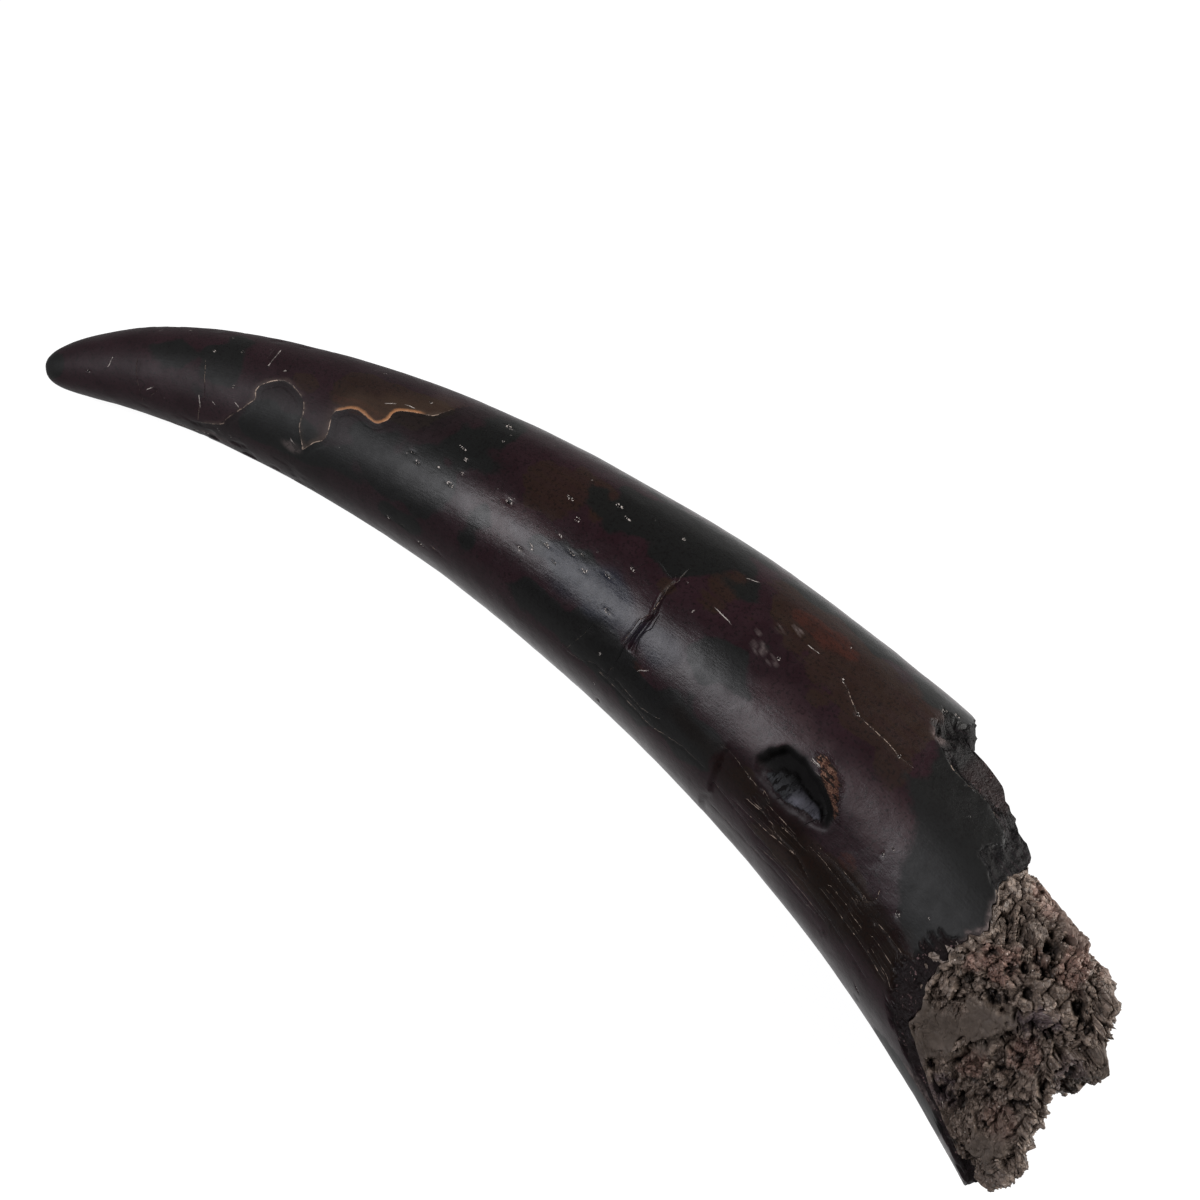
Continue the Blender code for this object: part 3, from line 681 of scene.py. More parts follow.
def inside(flat, points, reach=0.015):
    """How far each flat point lies inside a closed outline, + inside and - outside.

    The size is the distance to the nearest side. The sign comes from counting the sides that a
    ray along the horn crosses: an odd count is inside.
    """
    length, angle = np.array(points, dtype=float).T
    knots = unrolled(length / 1000.0, angle)
    near = np.all((flat > knots.min(axis=0) - reach) & (flat < knots.max(axis=0) + reach), axis=-1)
    spots = flat[near]
    best = np.full(len(spots), reach)
    crossings = np.zeros(len(spots), dtype=int)
    for start, end in zip(knots, np.roll(knots, -1, axis=0)):
        run = end - start
        along = np.clip((spots - start) @ run / (run @ run), 0.0, 1.0)
        best = np.minimum(best, np.hypot(*(spots - start - along[:, None] * run).T))
        spans = (start[1] > spots[:, 1]) != (end[1] > spots[:, 1])
        climb = run[1] if abs(run[1]) > TINY else TINY
        meets = start[0] + run[0] * (spots[:, 1] - start[1]) / climb
        crossings += spans & (spots[:, 0] < meets)
    result = np.full(flat.shape[:-1], -reach)
    result[near] = np.where(crossings % 2 == 1, best, -best)
    return result


def patches(length, angle, spot, table, seed):
    """Soft patches with uneven edges: 1 in a patch, 0 outside all of them."""
    wobble = layered(spot, PATCH_WOBBLE, seed)
    total = np.zeros(length.shape)
    for middle, turn, reach, reach_round, strength in table:
        away = np.hypot((length * 1000.0 - middle) / reach, (angle - turn) / reach_round)
        total = np.maximum(total, strength * (1.0 - rise(away + wobble, *PATCH_FADE)))
    return total


def flake_scar(distance):
    """1 just inside the edge of the missing layer, fading out away from it."""
    past_edge = rise(-distance, -FLAKE_SOFTNESS, FLAKE_SOFTNESS)
    return past_edge * np.exp(-np.maximum(-distance, 0.0) / FLAKE_FADE)


def cavity_radius(length):
    """The pulp cavity's radius: a blunt cone that soon runs parallel to the outside."""
    depth = np.maximum(length - CAVITY_APEX, 0.0)
    return (half_width(length) - WALL) * np.sqrt(1.0 - np.exp(-depth / CAVITY_OPENING))


def cavity_mouth(angle):
    """Where the cavity opens: past the rim, and further on the convex side, where it slopes."""
    from_convex = (np.asarray(angle) + 180.0) % 360.0 - 180.0
    return rim_length(angle) + RIM_LIP + RIM_SLOPE * bump(from_convex, 0.0, RIM_SLOPE_REACH)


def column_angles(columns):
    """Angles of the columns: most of them on the side that lies uppermost."""
    start, end = SHOWN_SIDE
    shown = round(columns * SHOWN_SHARE)
    hidden = columns - shown
    front = np.linspace(start, end, shown, endpoint=False)
    back = np.linspace(end, start + 360.0, hidden, endpoint=False)
    return wrapped(np.concatenate((front, back)))


def closed_surface(name, points, fields):
    """A closed mesh from rows of points round the spine; the first and last rows become poles."""
    rows, columns = points.shape[:2]

    def flatten(values):
        """One pole, the rows between, the other pole."""
        body = values[1:-1].reshape((-1,) + values.shape[2:])
        return np.concatenate((values[:1].mean(axis=1), body, values[-1:].mean(axis=1)))

    ring = 1 + np.arange((rows - 2) * columns).reshape(rows - 2, columns)
    turned = np.roll(ring, -1, axis=1)
    quads = np.stack((ring[:-1], turned[:-1], turned[1:], ring[1:]), axis=-1).reshape(-1, 4)
    last = 1 + (rows - 2) * columns
    first_fan = np.stack((np.zeros(columns, int), turned[0], ring[0]), axis=-1)
    last_fan = np.stack((ring[-1], turned[-1], np.full(columns, last)), axis=-1)
    corners = np.concatenate((first_fan.ravel(), quads.ravel(), last_fan.ravel()))
    sizes = np.repeat((3, 4, 3), (columns, len(quads), columns))
    return make_mesh(name, flatten(points), corners, sizes, {k: flatten(v) for k, v in fields.items()})


def held(points):
    """Points kept just inside the box of the CAD model."""
    low, high = np.array(CAD_BOX[0]), np.array(CAD_BOX[1])
    margin = np.array((BOX_MARGIN, BOX_MARGIN, 0.0))
    return np.clip(points, low + margin, high - BOX_MARGIN)


def make_mesh(name, vertices, corners, sizes, fields):
    """A mesh object from its vertices, the faces' corners, their sizes and the vertex fields."""
    mesh = bpy.data.meshes.new(name)
    mesh.vertices.add(len(vertices))
    mesh.vertices.foreach_set("co", vertices.astype(np.float32).ravel())
    mesh.loops.add(len(corners))
    mesh.loops.foreach_set("vertex_index", corners.astype(np.int32))
    mesh.polygons.add(len(sizes))
    mesh.polygons.foreach_set("loop_start", (np.cumsum(sizes) - sizes).astype(np.int32))
    mesh.update(calc_edges=True)
    for field, values in fields.items():
        kind, slot = ("FLOAT_VECTOR", "vector") if values.ndim == 2 else ("FLOAT", "value")
        attribute = mesh.attributes.new(field, kind, "POINT")
        attribute.data.foreach_set(slot, values.astype(np.float32).ravel())
    piece = bpy.data.objects.new(name, mesh)
    bpy.context.scene.collection.objects.link(piece)
    return piece


def horn_rows(angle):
    """The length of each row on the horn's outside, for each column's angle."""
    ends = []
    start = 0.0
    for end, count in HORN_STRETCHES:
        ends.append(start + (end - start) * np.arange(count) / count)
        start = end
    even = np.concatenate(ends)[:, None] + 0.0 * angle
    part = np.linspace(0.0, 1.0, RIM_STRETCH_ROWS)[:, None]
    to_rim = start + part * (rim_length(angle) - start)
    return np.concatenate((even, to_rim))


def worn_surface(length, angle, spot):
    """Relief of the sound surface: swells and ripples, two shallow hollows, worn spots."""
    relief = UNDULATION * lumps(spot, UNDULATION_CELL, 11) * rise(length, 0.0, UNDULATION_START)
    relief += layered(spot, RIPPLES, 12)
    for middle, turn, reach, reach_round, depth in (TIP_WEAR, ROOT_HOLLOW):
        away = np.hypot((length - middle) / reach, (angle - turn) / reach_round)
        relief -= depth * bump(away, 0.0, 1.0)
    worn = rise(layered(spot, WORN_SPOTS, 55), *WORN_SHARE)
    flanks = np.maximum(bump(angle, 182.0, 26.0), 0.35 * bump(angle, 36.0, 22.0))
    return relief - FLANK_WEAR * worn * flanks * bump(length, *FLANK_WEAR_PLACE)


def missing_layers(flat):
    """How far the layers that flaked off lie below the surface, and the field of the flake's edge."""
    flake, past_flake = line_distance(flat, rounded(FLAKE_EDGE, 1), FLAKE_REACH)
    scar = flake_scar(flake)
    shows = np.clip(1.0 - np.abs(flake) / LINE_REACH, 0.0, 1.0) * (1.0 - rise(past_flake, 0.0, 0.002))
    step, past_step = line_distance(flat, FLANK_EDGE, FLANK_REACH)
    gone = rise(-step, -0.0004, 0.0006) * (1.0 - rise(past_step, 0.0, 0.012))
    sunk = FLAKE_DEPTH * scar * (1.0 - rise(past_flake, 0.0, FLAKE_FADE))
    sunk += FLANK_DEPTH * gone * np.exp(-np.maximum(-step, 0.0) / FLANK_FADE)
    return sunk, np.stack((flake * 1000.0, shows, scar), axis=-1)


def cracks(flat):
    """How deep the cracks go, and their field: distance in millimetres, strength, paleness."""
    distance, shows, paleness = marks(flat, CRACKS, LINE_REACH, CRACK_END)
    groove = 1.0 - rise(np.abs(distance), 0.0, CRACK_HALF_WIDTH)
    wedge, past_wedge = line_distance(flat, CROSS_CRACK, 2.0 * LINE_REACH)
    opening = 1.0 - rise(np.abs(wedge), 0.0, CROSS_CRACK_HALF_WIDTH)
    opening *= 1.0 - rise(past_wedge, 0.0, CROSS_CRACK_END)
    sunk = CRACK_DEPTH * groove * shows + CROSS_CRACK_DEPTH * opening
    return sunk, np.stack((distance * 1000.0, shows, paleness), axis=-1)


def away_from(flat, middle, turn, size):
    """How far each flat point lies from a mark's middle, in half widths of that mark."""
    return np.hypot(*np.moveaxis(flat - unrolled(middle / 1000.0, turn), -1, 0)) / (size / 1000.0)


def small_pits(flat, spot):
    """1 in the small ragged pits, 0 outside them."""
    ragged = 0.5 * lumps(spot, 0.0011, 47)
    mask = np.zeros(ragged.shape)
    for middle, turn, size in PITS:
        away = away_from(flat, middle, turn, PIT_SHRINK * size)
        mask = np.maximum(mask, 1.0 - rise(away + ragged, 0.2, 1.1))
    return mask


def deep_pit(flat, angle, spot, rough_edge):
    """The deep pit: steep on the side of smaller angles, with a floor of uneven plates.

    Gives how deep it goes, its painted shade, black and strongest on the steep side, and 1 on its floor.
    """
    hole = inside(flat, DEEP_PIT) + rough_edge
    on_floor = rise(inside(flat, PIT_FLOOR) + 0.7 * rough_edge, -0.0008, 0.0006)
    gentle, steep = PIT_STEEP_SIDE
    shallow, deepest, raised = PIT_DEPTHS
    side = rise(gentle - angle, 0.0, gentle - steep)
    plate, plate_border, _ = crumbs(spot, PIT_CELL, 53)
    level = shallow + (deepest - shallow) * side * (1.0 - 0.10 * on_floor)
    level += on_floor * (PLATE_GAP * (1.0 - rise(plate_border, 0.0, 0.10)) - raised * plate)
    sunk = rise(hole, -0.0002, PIT_WALL) * np.maximum(level, 0.0)
    # Painted shade: black in the hollow and softly past its edge, strongest under the steep wall.
    pit_shade = rise(hole, -0.0022, 0.0016) * np.maximum(side, PIT_LEAST_SHADE) * (1.0 - 0.45 * on_floor)
    return sunk, pit_shade, on_floor * rise(hole, 0.0, 0.001)


def broken_root(flat, angle, spot, rough_edge):
    """The broken band short of the rim: pieces that stand apart, fibres, and one smooth facet.

    Gives how far it is sunk, 1 where it is broken, 1 where it is fibrous, and 1 on the facet.
    """
    past, _ = line_distance(flat, BREAK_EDGE, BREAK_REACH)
    past = np.where(np.abs(past) < BREAK_REACH, past, -BREAK_REACH)
    past = past + layered(spot, BREAK_WOBBLE, 66)
    with_grain = np.stack((flat[..., 0] * 0.20, flat[..., 1], flat[..., 1] * 0.0), axis=-1)
    past += BREAK_FRINGE * rise(angle, 104.0, 116.0) * lumps(with_grain, 0.0016, 68)
    broken = rise(past, 0.0, 0.0008)
    facet = rise(inside(flat, BREAK_FACET) + 0.5 * rough_edge, -0.0004, 0.0006)
    height, _, offset = crumbs(spot, BREAK_CELL, 71)
    fine_height, _, _ = crumbs(spot, BREAK_CELL * 0.45, 75)
    ragged = height + 0.5 * offset[..., 0] - 0.4 * offset[..., 1] + 0.4 * fine_height - 0.4
    fibrous = rise(angle, 108.0, 120.0)
    ragged = ragged + fibrous * (0.5 * lumps(with_grain, 0.0011, 76) - 0.4 * ragged)
    slope = BREAK_SLOPE * np.clip(past, 0.0, 0.009)
    sunk = broken * (BREAK_DEPTH + slope + BREAK_ROUGH * (1.0 - 0.85 * facet) * ragged)
    return sunk, broken, fibrous, facet


def horn_outside(length, angle):
    """The outside's radius with all its wear and damage, and the vertex fields of its marks."""
    flat = unrolled(length, angle)
    radius = half_width(length)
    spot = place(length, angle, radius)
    to_rim = rim_length(angle) - length
    rough_edge = layered(spot, ROUGH_OUTLINE, 51)

    layers_sunk, flake = missing_layers(flat)
    cracks_sunk, crack = cracks(flat)
    pale_scratches = [(strength, 1.0, points) for strength, points in SCRATCHES]
    scratch, scratch_shows, _ = marks(flat, pale_scratches, LINE_REACH, SCRATCH_END)
    pits = small_pits(flat, spot)
    rings = np.maximum.reduce([bump(away_from(flat, *ring), 0.8, 0.35) for ring in RINGS])
    pit_sunk, pit_shade, pit_floor = deep_pit(flat, angle, spot, rough_edge)
    scrape = inside(flat, SCRAPE) + rough_edge
    scrape_sunk = SCRAPE_DEPTH * (1.0 + 0.9 * lumps(spot, 0.0022, 54)) * rise(scrape, -0.0004, 0.0008)
    chipped = rise(inside(flat, RIM_CHIP) + rough_edge, 0.0, 0.0012)
    spall_edge = to_rim + 0.0016 * lumps(spot, 0.005, 65)
    spalled = 1.0 - rise(spall_edge, SPALL_WIDTH, SPALL_WIDTH + SPALL_EDGE)
    spalled *= bump(angle, SPALL_MIDDLE, SPALL_REACH)
    break_sunk, broken, fibrous, facet = broken_root(flat, angle, spot, rough_edge)

    relief = worn_surface(length, angle, spot) + RING_HEIGHT * rings - PIT_DEPTH * pits
    relief -= layers_sunk + cracks_sunk + pit_sunk + scrape_sunk + break_sunk
    relief -= RIM_CHIP_DEPTH * chipped + SPALL_DEPTH * spalled
    relief = np.minimum(relief, UNDULATION)

    def patch(table, seed):
        """A field of soft patches from one of the tables."""
        return patches(length, angle, spot, table, seed)

    panel = np.clip(0.5 + inside(flat, ASH_PANEL) / ASH_PANEL_FADE, 0.0, 1.0)
    # A painted highlight along the broken lip, carried with the dust.
    lip_highlight = (1.0 - rise(to_rim, 0.0006, 0.0019)) * bump(angle, *LIP_HIGHLIGHT)
    dust_and_lip_highlight = np.maximum.reduce([patch(DUST, 87), 0.7 * rings, lip_highlight])
    fields = {
        # Painted light: bluish and plum highlight tints, and painted shade along the root's flank.
        "tone": (patch(BLUISH_HIGHLIGHT_TINT, 82), patch(PLUM_HIGHLIGHT_TINT, 84), patch(PAINTED_FLANK_SHADE, 86)),
        "stain": (np.maximum(patch(ASH, 81), panel), patch(OLIVE, 83), patch(RUST, 85)),
        "scratch": (scratch * 1000.0, scratch_shows, pits),
        "hurt": (fibrous * broken, rise(scrape, -0.0013, 0.0018), np.maximum(broken, chipped)),
        "hole": (pit_shade, pit_floor, facet * broken),
        "lie": (flat[..., 0], flat[..., 1], dust_and_lip_highlight),
    }
    fields = {name: np.stack(values, axis=-1) for name, values in fields.items()}
    return radius + relief, {**fields, "crack": crack, "flake": flake}


def make_horn():
    """The horn: outside from tip to rim, across the broken edge, and down the cavity's wall.

    The broken edge runs from the outer surface to the cavity's mouth, rough all the way.
    """
    angle = column_angles(HORN_COLUMNS)
    length = horn_rows(angle)
    angle = angle + 0.0 * length
    radius, fields = horn_outside(length, angle)

    part = np.linspace(0.0, 1.0, BROKEN_EDGE_ROWS + 1)[1:, None]
    edge_angle = angle[-1:] + 0.0 * part
    mouth = cavity_mouth(edge_angle)
    edge_length = length[-1:] + part * (mouth - length[-1:])
    edge_radius = radius[-1:] + part * (cavity_radius(mouth) - radius[-1:])
    edge_spot = place(edge_length, edge_angle, edge_radius)
    rough = layered(edge_spot, BROKEN_EDGE_ROUGH, 91) * np.sin(math.pi * part)
    edge = place(edge_length + rough, edge_angle, edge_radius + rough)
    part = np.linspace(1.0, 0.0, CAVITY_ROWS + 1)[1:, None]
    wall_length = CAVITY_APEX + part * (mouth[-1:] - CAVITY_APEX)
    wall = place(wall_length, angle[-1:] + 0.0 * part, cavity_radius(wall_length))

    points = held(np.concatenate((place(length, angle, radius), edge, wall)))
    for name, values in fields.items():
        added = np.repeat(values[-1:], len(edge) + len(wall), axis=0)
        if name == "hurt":
            added[..., 2] = 1.0
        fields[name] = np.concatenate((values, added))
    piece = closed_surface("tusk_horn", points, fields)
    piece.data.shade_smooth()
    return piece


def stone_flank(length, angle, rough):
    """The radius at which the stone's flat flank cuts it, far out where it faces away."""
    lengths, distances = np.array(STONE_FLANK).T
    lean = 1.0 - FLANK_LEAN * np.clip(-np.sin(np.radians(angle)), 0.0, 1.0)
    distance = (np.interp(length, lengths, distances) + rough) * lean
    return distance / np.maximum(np.cos(np.radians(angle)), 0.02)


def spill_share(angle):
    """How far the stone swells past the cavity: most on the side that lies uppermost."""
    return bump(np.asarray(angle) % 360.0, SPILL_MIDDLE, SPILL_REACH) ** 0.5


def stone_mouth(angle):
    """Where the bare stone starts: at the cavity's mouth, or up against the rim where it swells."""
    close = rim_length(angle) + STONE_START
    return cavity_mouth(angle) + (close - cavity_mouth(angle)) * rise(spill_share(angle), 0.0, 0.5)


def stone_radius(length, angle):
    """The stone's radius: it fills the cavity, and past the rim it has worn back in lumps."""
    turned = np.asarray(angle) % 360.0
    past_rim = length - rim_length(angle)
    bare = rise(past_rim, *STONE_BARE)
    filled = cavity_radius(length) - STONE_GAP
    rough = bare * layered(place(length, angle, filled), STONE_LUMPS, 21)
    ledge = LEDGE_PLACE + LEDGE_SLANT * (LEDGE_ANGLE - turned)
    drop = LEDGE_DROP * rise(length, ledge, ledge + LEDGE_STEP) * bump(turned, LEDGE_ANGLE, LEDGE_REACH)
    fall = STONE_FALL * rise(past_rim, 0.0, STONE_FALL_LENGTH)
    spill = spill_share(turned) * rise(past_rim, *SPILL_START) * (1.0 - 0.75 * rise(past_rim, *SPILL_FADE))
    radius = filled + rough - bare * (STONE_SINK + fall + drop) + SPILL * spill
    flank = stone_flank(length, angle, 0.8 * rough)
    power = FLANK_CORNER_POWER
    cut = (radius ** -power + flank ** -power) ** (-1.0 / power)
    radius = radius + (cut - radius) * rise(past_rim, 0.0, FLANK_START)
    return np.where(past_rim < 0.0, np.minimum(radius, filled), radius)


def stone_end(radius, angle):
    """How far the stone reaches, by the distance across the spine: two lobes and a notch."""
    across, height = radius * np.cos(np.radians(angle)), radius * np.sin(np.radians(angle))
    distances, lengths = np.array(STONE_END).T
    spot = np.stack((across, height, across * 0.0), axis=-1)
    return np.interp(across, distances, lengths) + STONE_END_LUMP * lumps(spot, STONE_END_CELL, 31)


def stone_side(part, angle):
    """Length and radius of the bare stone, from where it starts to the turn of its end."""
    radius = stone_radius(STONE_END_MIDDLE + 0.0 * angle, angle)
    corner = stone_end(radius, angle) - STONE_EDGE_ROUND
    start = np.minimum(stone_mouth(angle), corner - SHORTEST_SIDE)
    length = start + part * (corner - start)
    return length, stone_radius(length, angle)


def stone_cap(turn, angle):
    """Length and radius of the stone's end, from its rounded edge to its middle."""
    edge_radius = stone_side(1.0, angle)[1]
    inset = edge_radius * turn
    radius = edge_radius - inset
    lean = np.clip(1.0 - inset / STONE_EDGE_ROUND, 0.0, 1.0)
    fall = STONE_EDGE_ROUND * (1.0 - np.sqrt(1.0 - lean ** 2))
    return stone_end(radius, angle) - fall, radius


def unit(vectors):
    """Vectors made one long."""
    return vectors / np.maximum(np.linalg.norm(vectors, axis=-1, keepdims=True), TINY)


def outward(points):
    """Unit normals of a grid of points, from the cross product of its two directions."""
    next_column, last_column = np.roll(points, -1, axis=1), np.roll(points, 1, axis=1)
    return unit(np.cross(next_column - last_column, np.gradient(points, axis=0)))


def eased(values, passes):
    """Grid values averaged with their neighbours, a number of times."""
    for _ in range(passes):
        values = (np.roll(values, 1, axis=1) + 2.0 * values + np.roll(values, -1, axis=1)) / 4.0
        inner = (values[:-2] + 2.0 * values[1:-1] + values[2:]) / 4.0
        values = np.concatenate((values[:1], inner, values[-1:]))
    return values


def spots_from_above(points, table, wobble, fade):
    """Round uneven spots at places seen from above: 1 in a spot, 0 outside all of them."""
    total = np.zeros(points.shape[:-1])
    for x, y, reach, strength in table:
        away = np.hypot(points[..., 0] * 1000.0 - x, points[..., 1] * 1000.0 - y) / reach
        total = np.maximum(total, strength * (1.0 - rise(away + wobble, *fade)))
    return total * rise(points[..., 2], *UPPER_SIDE)


def broken_clumps(points, shape, seed):
    """How far clumps sink below the surface: each by its own height and tilt, and the crevices.

    Gives the sinking in metres, each clump's own value, and 1 in the crevice between two.
    """
    cell, height, tilt, crevice = shape
    value, border, offset = crumbs(points, cell, seed)
    turn = np.stack((np.cos(40.0 * value), np.sin(40.0 * value), np.cos(71.0 * value)), axis=-1)
    lean = (offset * turn).sum(axis=-1)
    gap = 1.0 - rise(border, 0.0, 0.16)
    return height * (1.0 - value + tilt * lean) + crevice * gap, value, gap


def stone_grid():
    """Rows of points on the smooth stone, and how far each lies past where the stone is bare."""
    angle = column_angles(STONE_COLUMNS)[None, :]
    hidden = np.linspace(0.0, 1.0, STONE_HIDDEN_ROWS, endpoint=False)[:, None]
    along = np.linspace(0.0, 1.0, STONE_SIDE_ROWS, endpoint=False)[:, None]
    side_length, side_radius = stone_side(along, angle + 0.0 * along)
    inner_length = CAVITY_APEX + STONE_GAP + hidden * (side_length[:1] - CAVITY_APEX - STONE_GAP)
    inner_radius = np.maximum(cavity_radius(inner_length) - STONE_GAP, 0.0)
    turn = np.linspace(0.0, 1.0, STONE_CAP_ROWS)[:, None]
    cap_length, cap_radius = stone_cap(turn, angle + 0.0 * turn)
    length = np.concatenate((inner_length, side_length, cap_length))
    radius = np.concatenate((inner_radius, side_radius, cap_radius))
    return place(length, angle + 0.0 * length, radius), length - side_length[:1]


def make_stone():
    """The stone that fills the cavity: hidden rows, the bare side, and the broken end.

    Along its normal, each clump stands at its own height and tilt, with a crevice where two
    clumps meet. Chips and single grains do the same on top, some clumps have gone, and pores go
    deepest. Under the mud the surface is smoother. Also gives the points, the normals and the
    tints of the rows that carry loose grains.
    """
    points, past_start = stone_grid()
    normal = unit(eased(outward(points), NORMAL_PASSES))
    wobble = layered(points, SPOT_WOBBLE, 101)
    tables = (PINK_SPOTS, PURPLE_SPOTS, MUD_SPOTS)
    pink, purple, mud = (spots_from_above(points, table, wobble, SPOT_FADE) for table in tables)
    pore_spots = [(*pore, 1.0) for pore in PORES]
    pore = spots_from_above(points, pore_spots, layered(points, PORE_WOBBLE, 151), PORE_FADE)
    warp = np.stack([lumps(points, WARP_CELL, 111 + axis) for axis in range(3)], axis=-1)
    warped = points + WARP * warp
    clump_sink, clump, crevice = broken_clumps(warped, CLUMP, 121)
    chip_sink, chip, chip_gap = broken_clumps(warped, CHIP, 131)
    grain_sink, grain, _ = broken_clumps(warped, GRAIN, 141)
    crumbly = rise(lumps(points, 0.016, 145) + 0.35, -0.1, 0.35)
    gone = rise(chip, 0.89, 0.92) * crumbly * (1.0 - mud)
    smooth = 1.0 - 0.9 * mud
    sink = clump_sink * smooth + (chip_sink + 0.8 * grain_sink) * (0.25 + 0.75 * crumbly) * smooth
    sink = sink + GAP_DEPTH * gone + PORE_DEPTH * pore
    sink = sink * rise(past_start, 0.0, STONE_FADE_IN)
    sink = np.maximum(sink + FINE_LUMP * lumps(points, FINE_LUMP_CELL, 153), -FINE_LUMP)
    sink = sink * rise(past_start, -0.0005, 0.0008)
    points = held(points - normal * sink[..., None])
    # Painted shade: darkest in pores and where clumps have gone, lighter in crevices.
    shaded = 0.38 * crevice + 0.25 * chip_gap * crumbly + 1.25 * pore + 0.9 * gone
    shaded = np.clip(shaded * smooth, 0.0, 1.0)
    tints = np.stack((pink, purple, mud), axis=-1)
    fields = {"clump": np.stack((0.55 * clump + 0.45 * chip, shaded, grain), axis=-1), "tint": tints}
    piece = closed_surface("stone_filling", points, fields)
    piece.data.shade_flat()
    return piece, points[GRAIN_ROWS], normal[GRAIN_ROWS], tints[GRAIN_ROWS]


def icosahedron():
    """The 12 corners of an icosahedron of radius 1, and its 20 faces, which look outwards."""
    golden = (1.0 + math.sqrt(5.0)) / 2.0
    corners = []
    for first, second in itertools.product((-1.0, 1.0), (-golden, golden)):
        corners += [(0.0, first, second), (first, second, 0.0), (second, 0.0, first)]
    corners = np.array(corners)
    longest_side = 2.02
    faces = []
    for a, b, c in itertools.combinations(range(len(corners)), 3):
        sides = corners[[a, b, c]] - corners[[b, c, a]]
        if np.linalg.norm(sides, axis=1).max() < longest_side:
            out = np.dot(np.cross(corners[b] - corners[a], corners[c] - corners[a]), corners[a])
            faces.append((a, b, c) if out > 0.0 else (a, c, b))
    return corners / np.hypot(1.0, golden), np.array(faces)


def make_grains(points, normals, tints):
    """Angular grains half sunk in the stone: icosahedra with uneven corners, each turned its way."""
    draw = np.random.default_rng(GRAIN_SEED)
    corners, faces = icosahedron()
    row = draw.integers(0, points.shape[0], LOOSE_GRAINS)
    column = draw.integers(0, points.shape[1], LOOSE_GRAINS)
    tint = tints[row, column]
    small, large = LOOSE_GRAIN_SIZES
    size = small + (large - small) * draw.random(LOOSE_GRAINS) ** 2.2
    size *= 1.0 - 0.8 * tint[:, 2]
    stretch = 0.45 + 0.8 * draw.random((LOOSE_GRAINS, 1, 3))
    uneven = 0.75 + 0.5 * draw.random((LOOSE_GRAINS, len(corners), 1))
    turns, _ = np.linalg.qr(draw.normal(size=(LOOSE_GRAINS, 3, 3)))
    turns *= np.sign(np.linalg.det(turns))[:, None, None]
    shapes = np.einsum("nij,nkj->nki", turns, corners * stretch * uneven)
    middle = points[row, column] - normals[row, column] * (0.55 * size)[:, None]
    vertices = held(middle[:, None, :] + shapes * size[:, None, None])
    first_corners = len(corners) * np.arange(LOOSE_GRAINS)
    tone = np.repeat(draw.random(LOOSE_GRAINS), len(corners))
    tint = np.repeat(tint, len(corners), axis=0)
    fields = {
        "clump": np.stack((tone, 0.0 * tone, tone), axis=-1),
        "tint": tint * np.array((1.0, 1.0, 0.0)),
    }
    loops = (faces[None] + first_corners[:, None, None]).reshape(-1)
    sizes = np.full(len(faces) * LOOSE_GRAINS, 3)
    return make_mesh("stone_grains", vertices.reshape(-1, 3), loops, sizes, fields)


# ---------------------------------------------------------------- materials


class Field:
    """A number that varies over a surface. Arithmetic on it adds Math nodes."""

    def __init__(self, finish, socket):
        self.finish = finish
        self.socket = socket

    def math(self, operation, *others, clamp=False):
        """Add a Math node that works on this field and others."""
        inputs = dict(enumerate((self, *others)))
        return self.finish.node("Math", {"operation": operation, "use_clamp": clamp}, inputs)

    def __add__(self, other):
        return self.math("ADD", other)

    def __sub__(self, other):
        return self.math("SUBTRACT", other)

    def __rsub__(self, other):
        return self.finish.node("Math", {"operation": "SUBTRACT"}, {0: other, 1: self})

    def __mul__(self, other):
        return self.math("MULTIPLY", other)

    def __abs__(self):
        return self.math("ABSOLUTE")

    __radd__ = __add__
    __rmul__ = __mul__

    def clamped(self):
        """This field held between 0 and 1."""
        return self.math("ADD", 0.0, clamp=True)

    def rise(self, start, end):
        """A smooth step from 0 at the start to 1 at the end."""
        settings = {"interpolation_type": "SMOOTHSTEP"}
        return self.finish.node("MapRange", settings, {0: self, 1: start, 2: end, 3: 0.0, 4: 1.0})


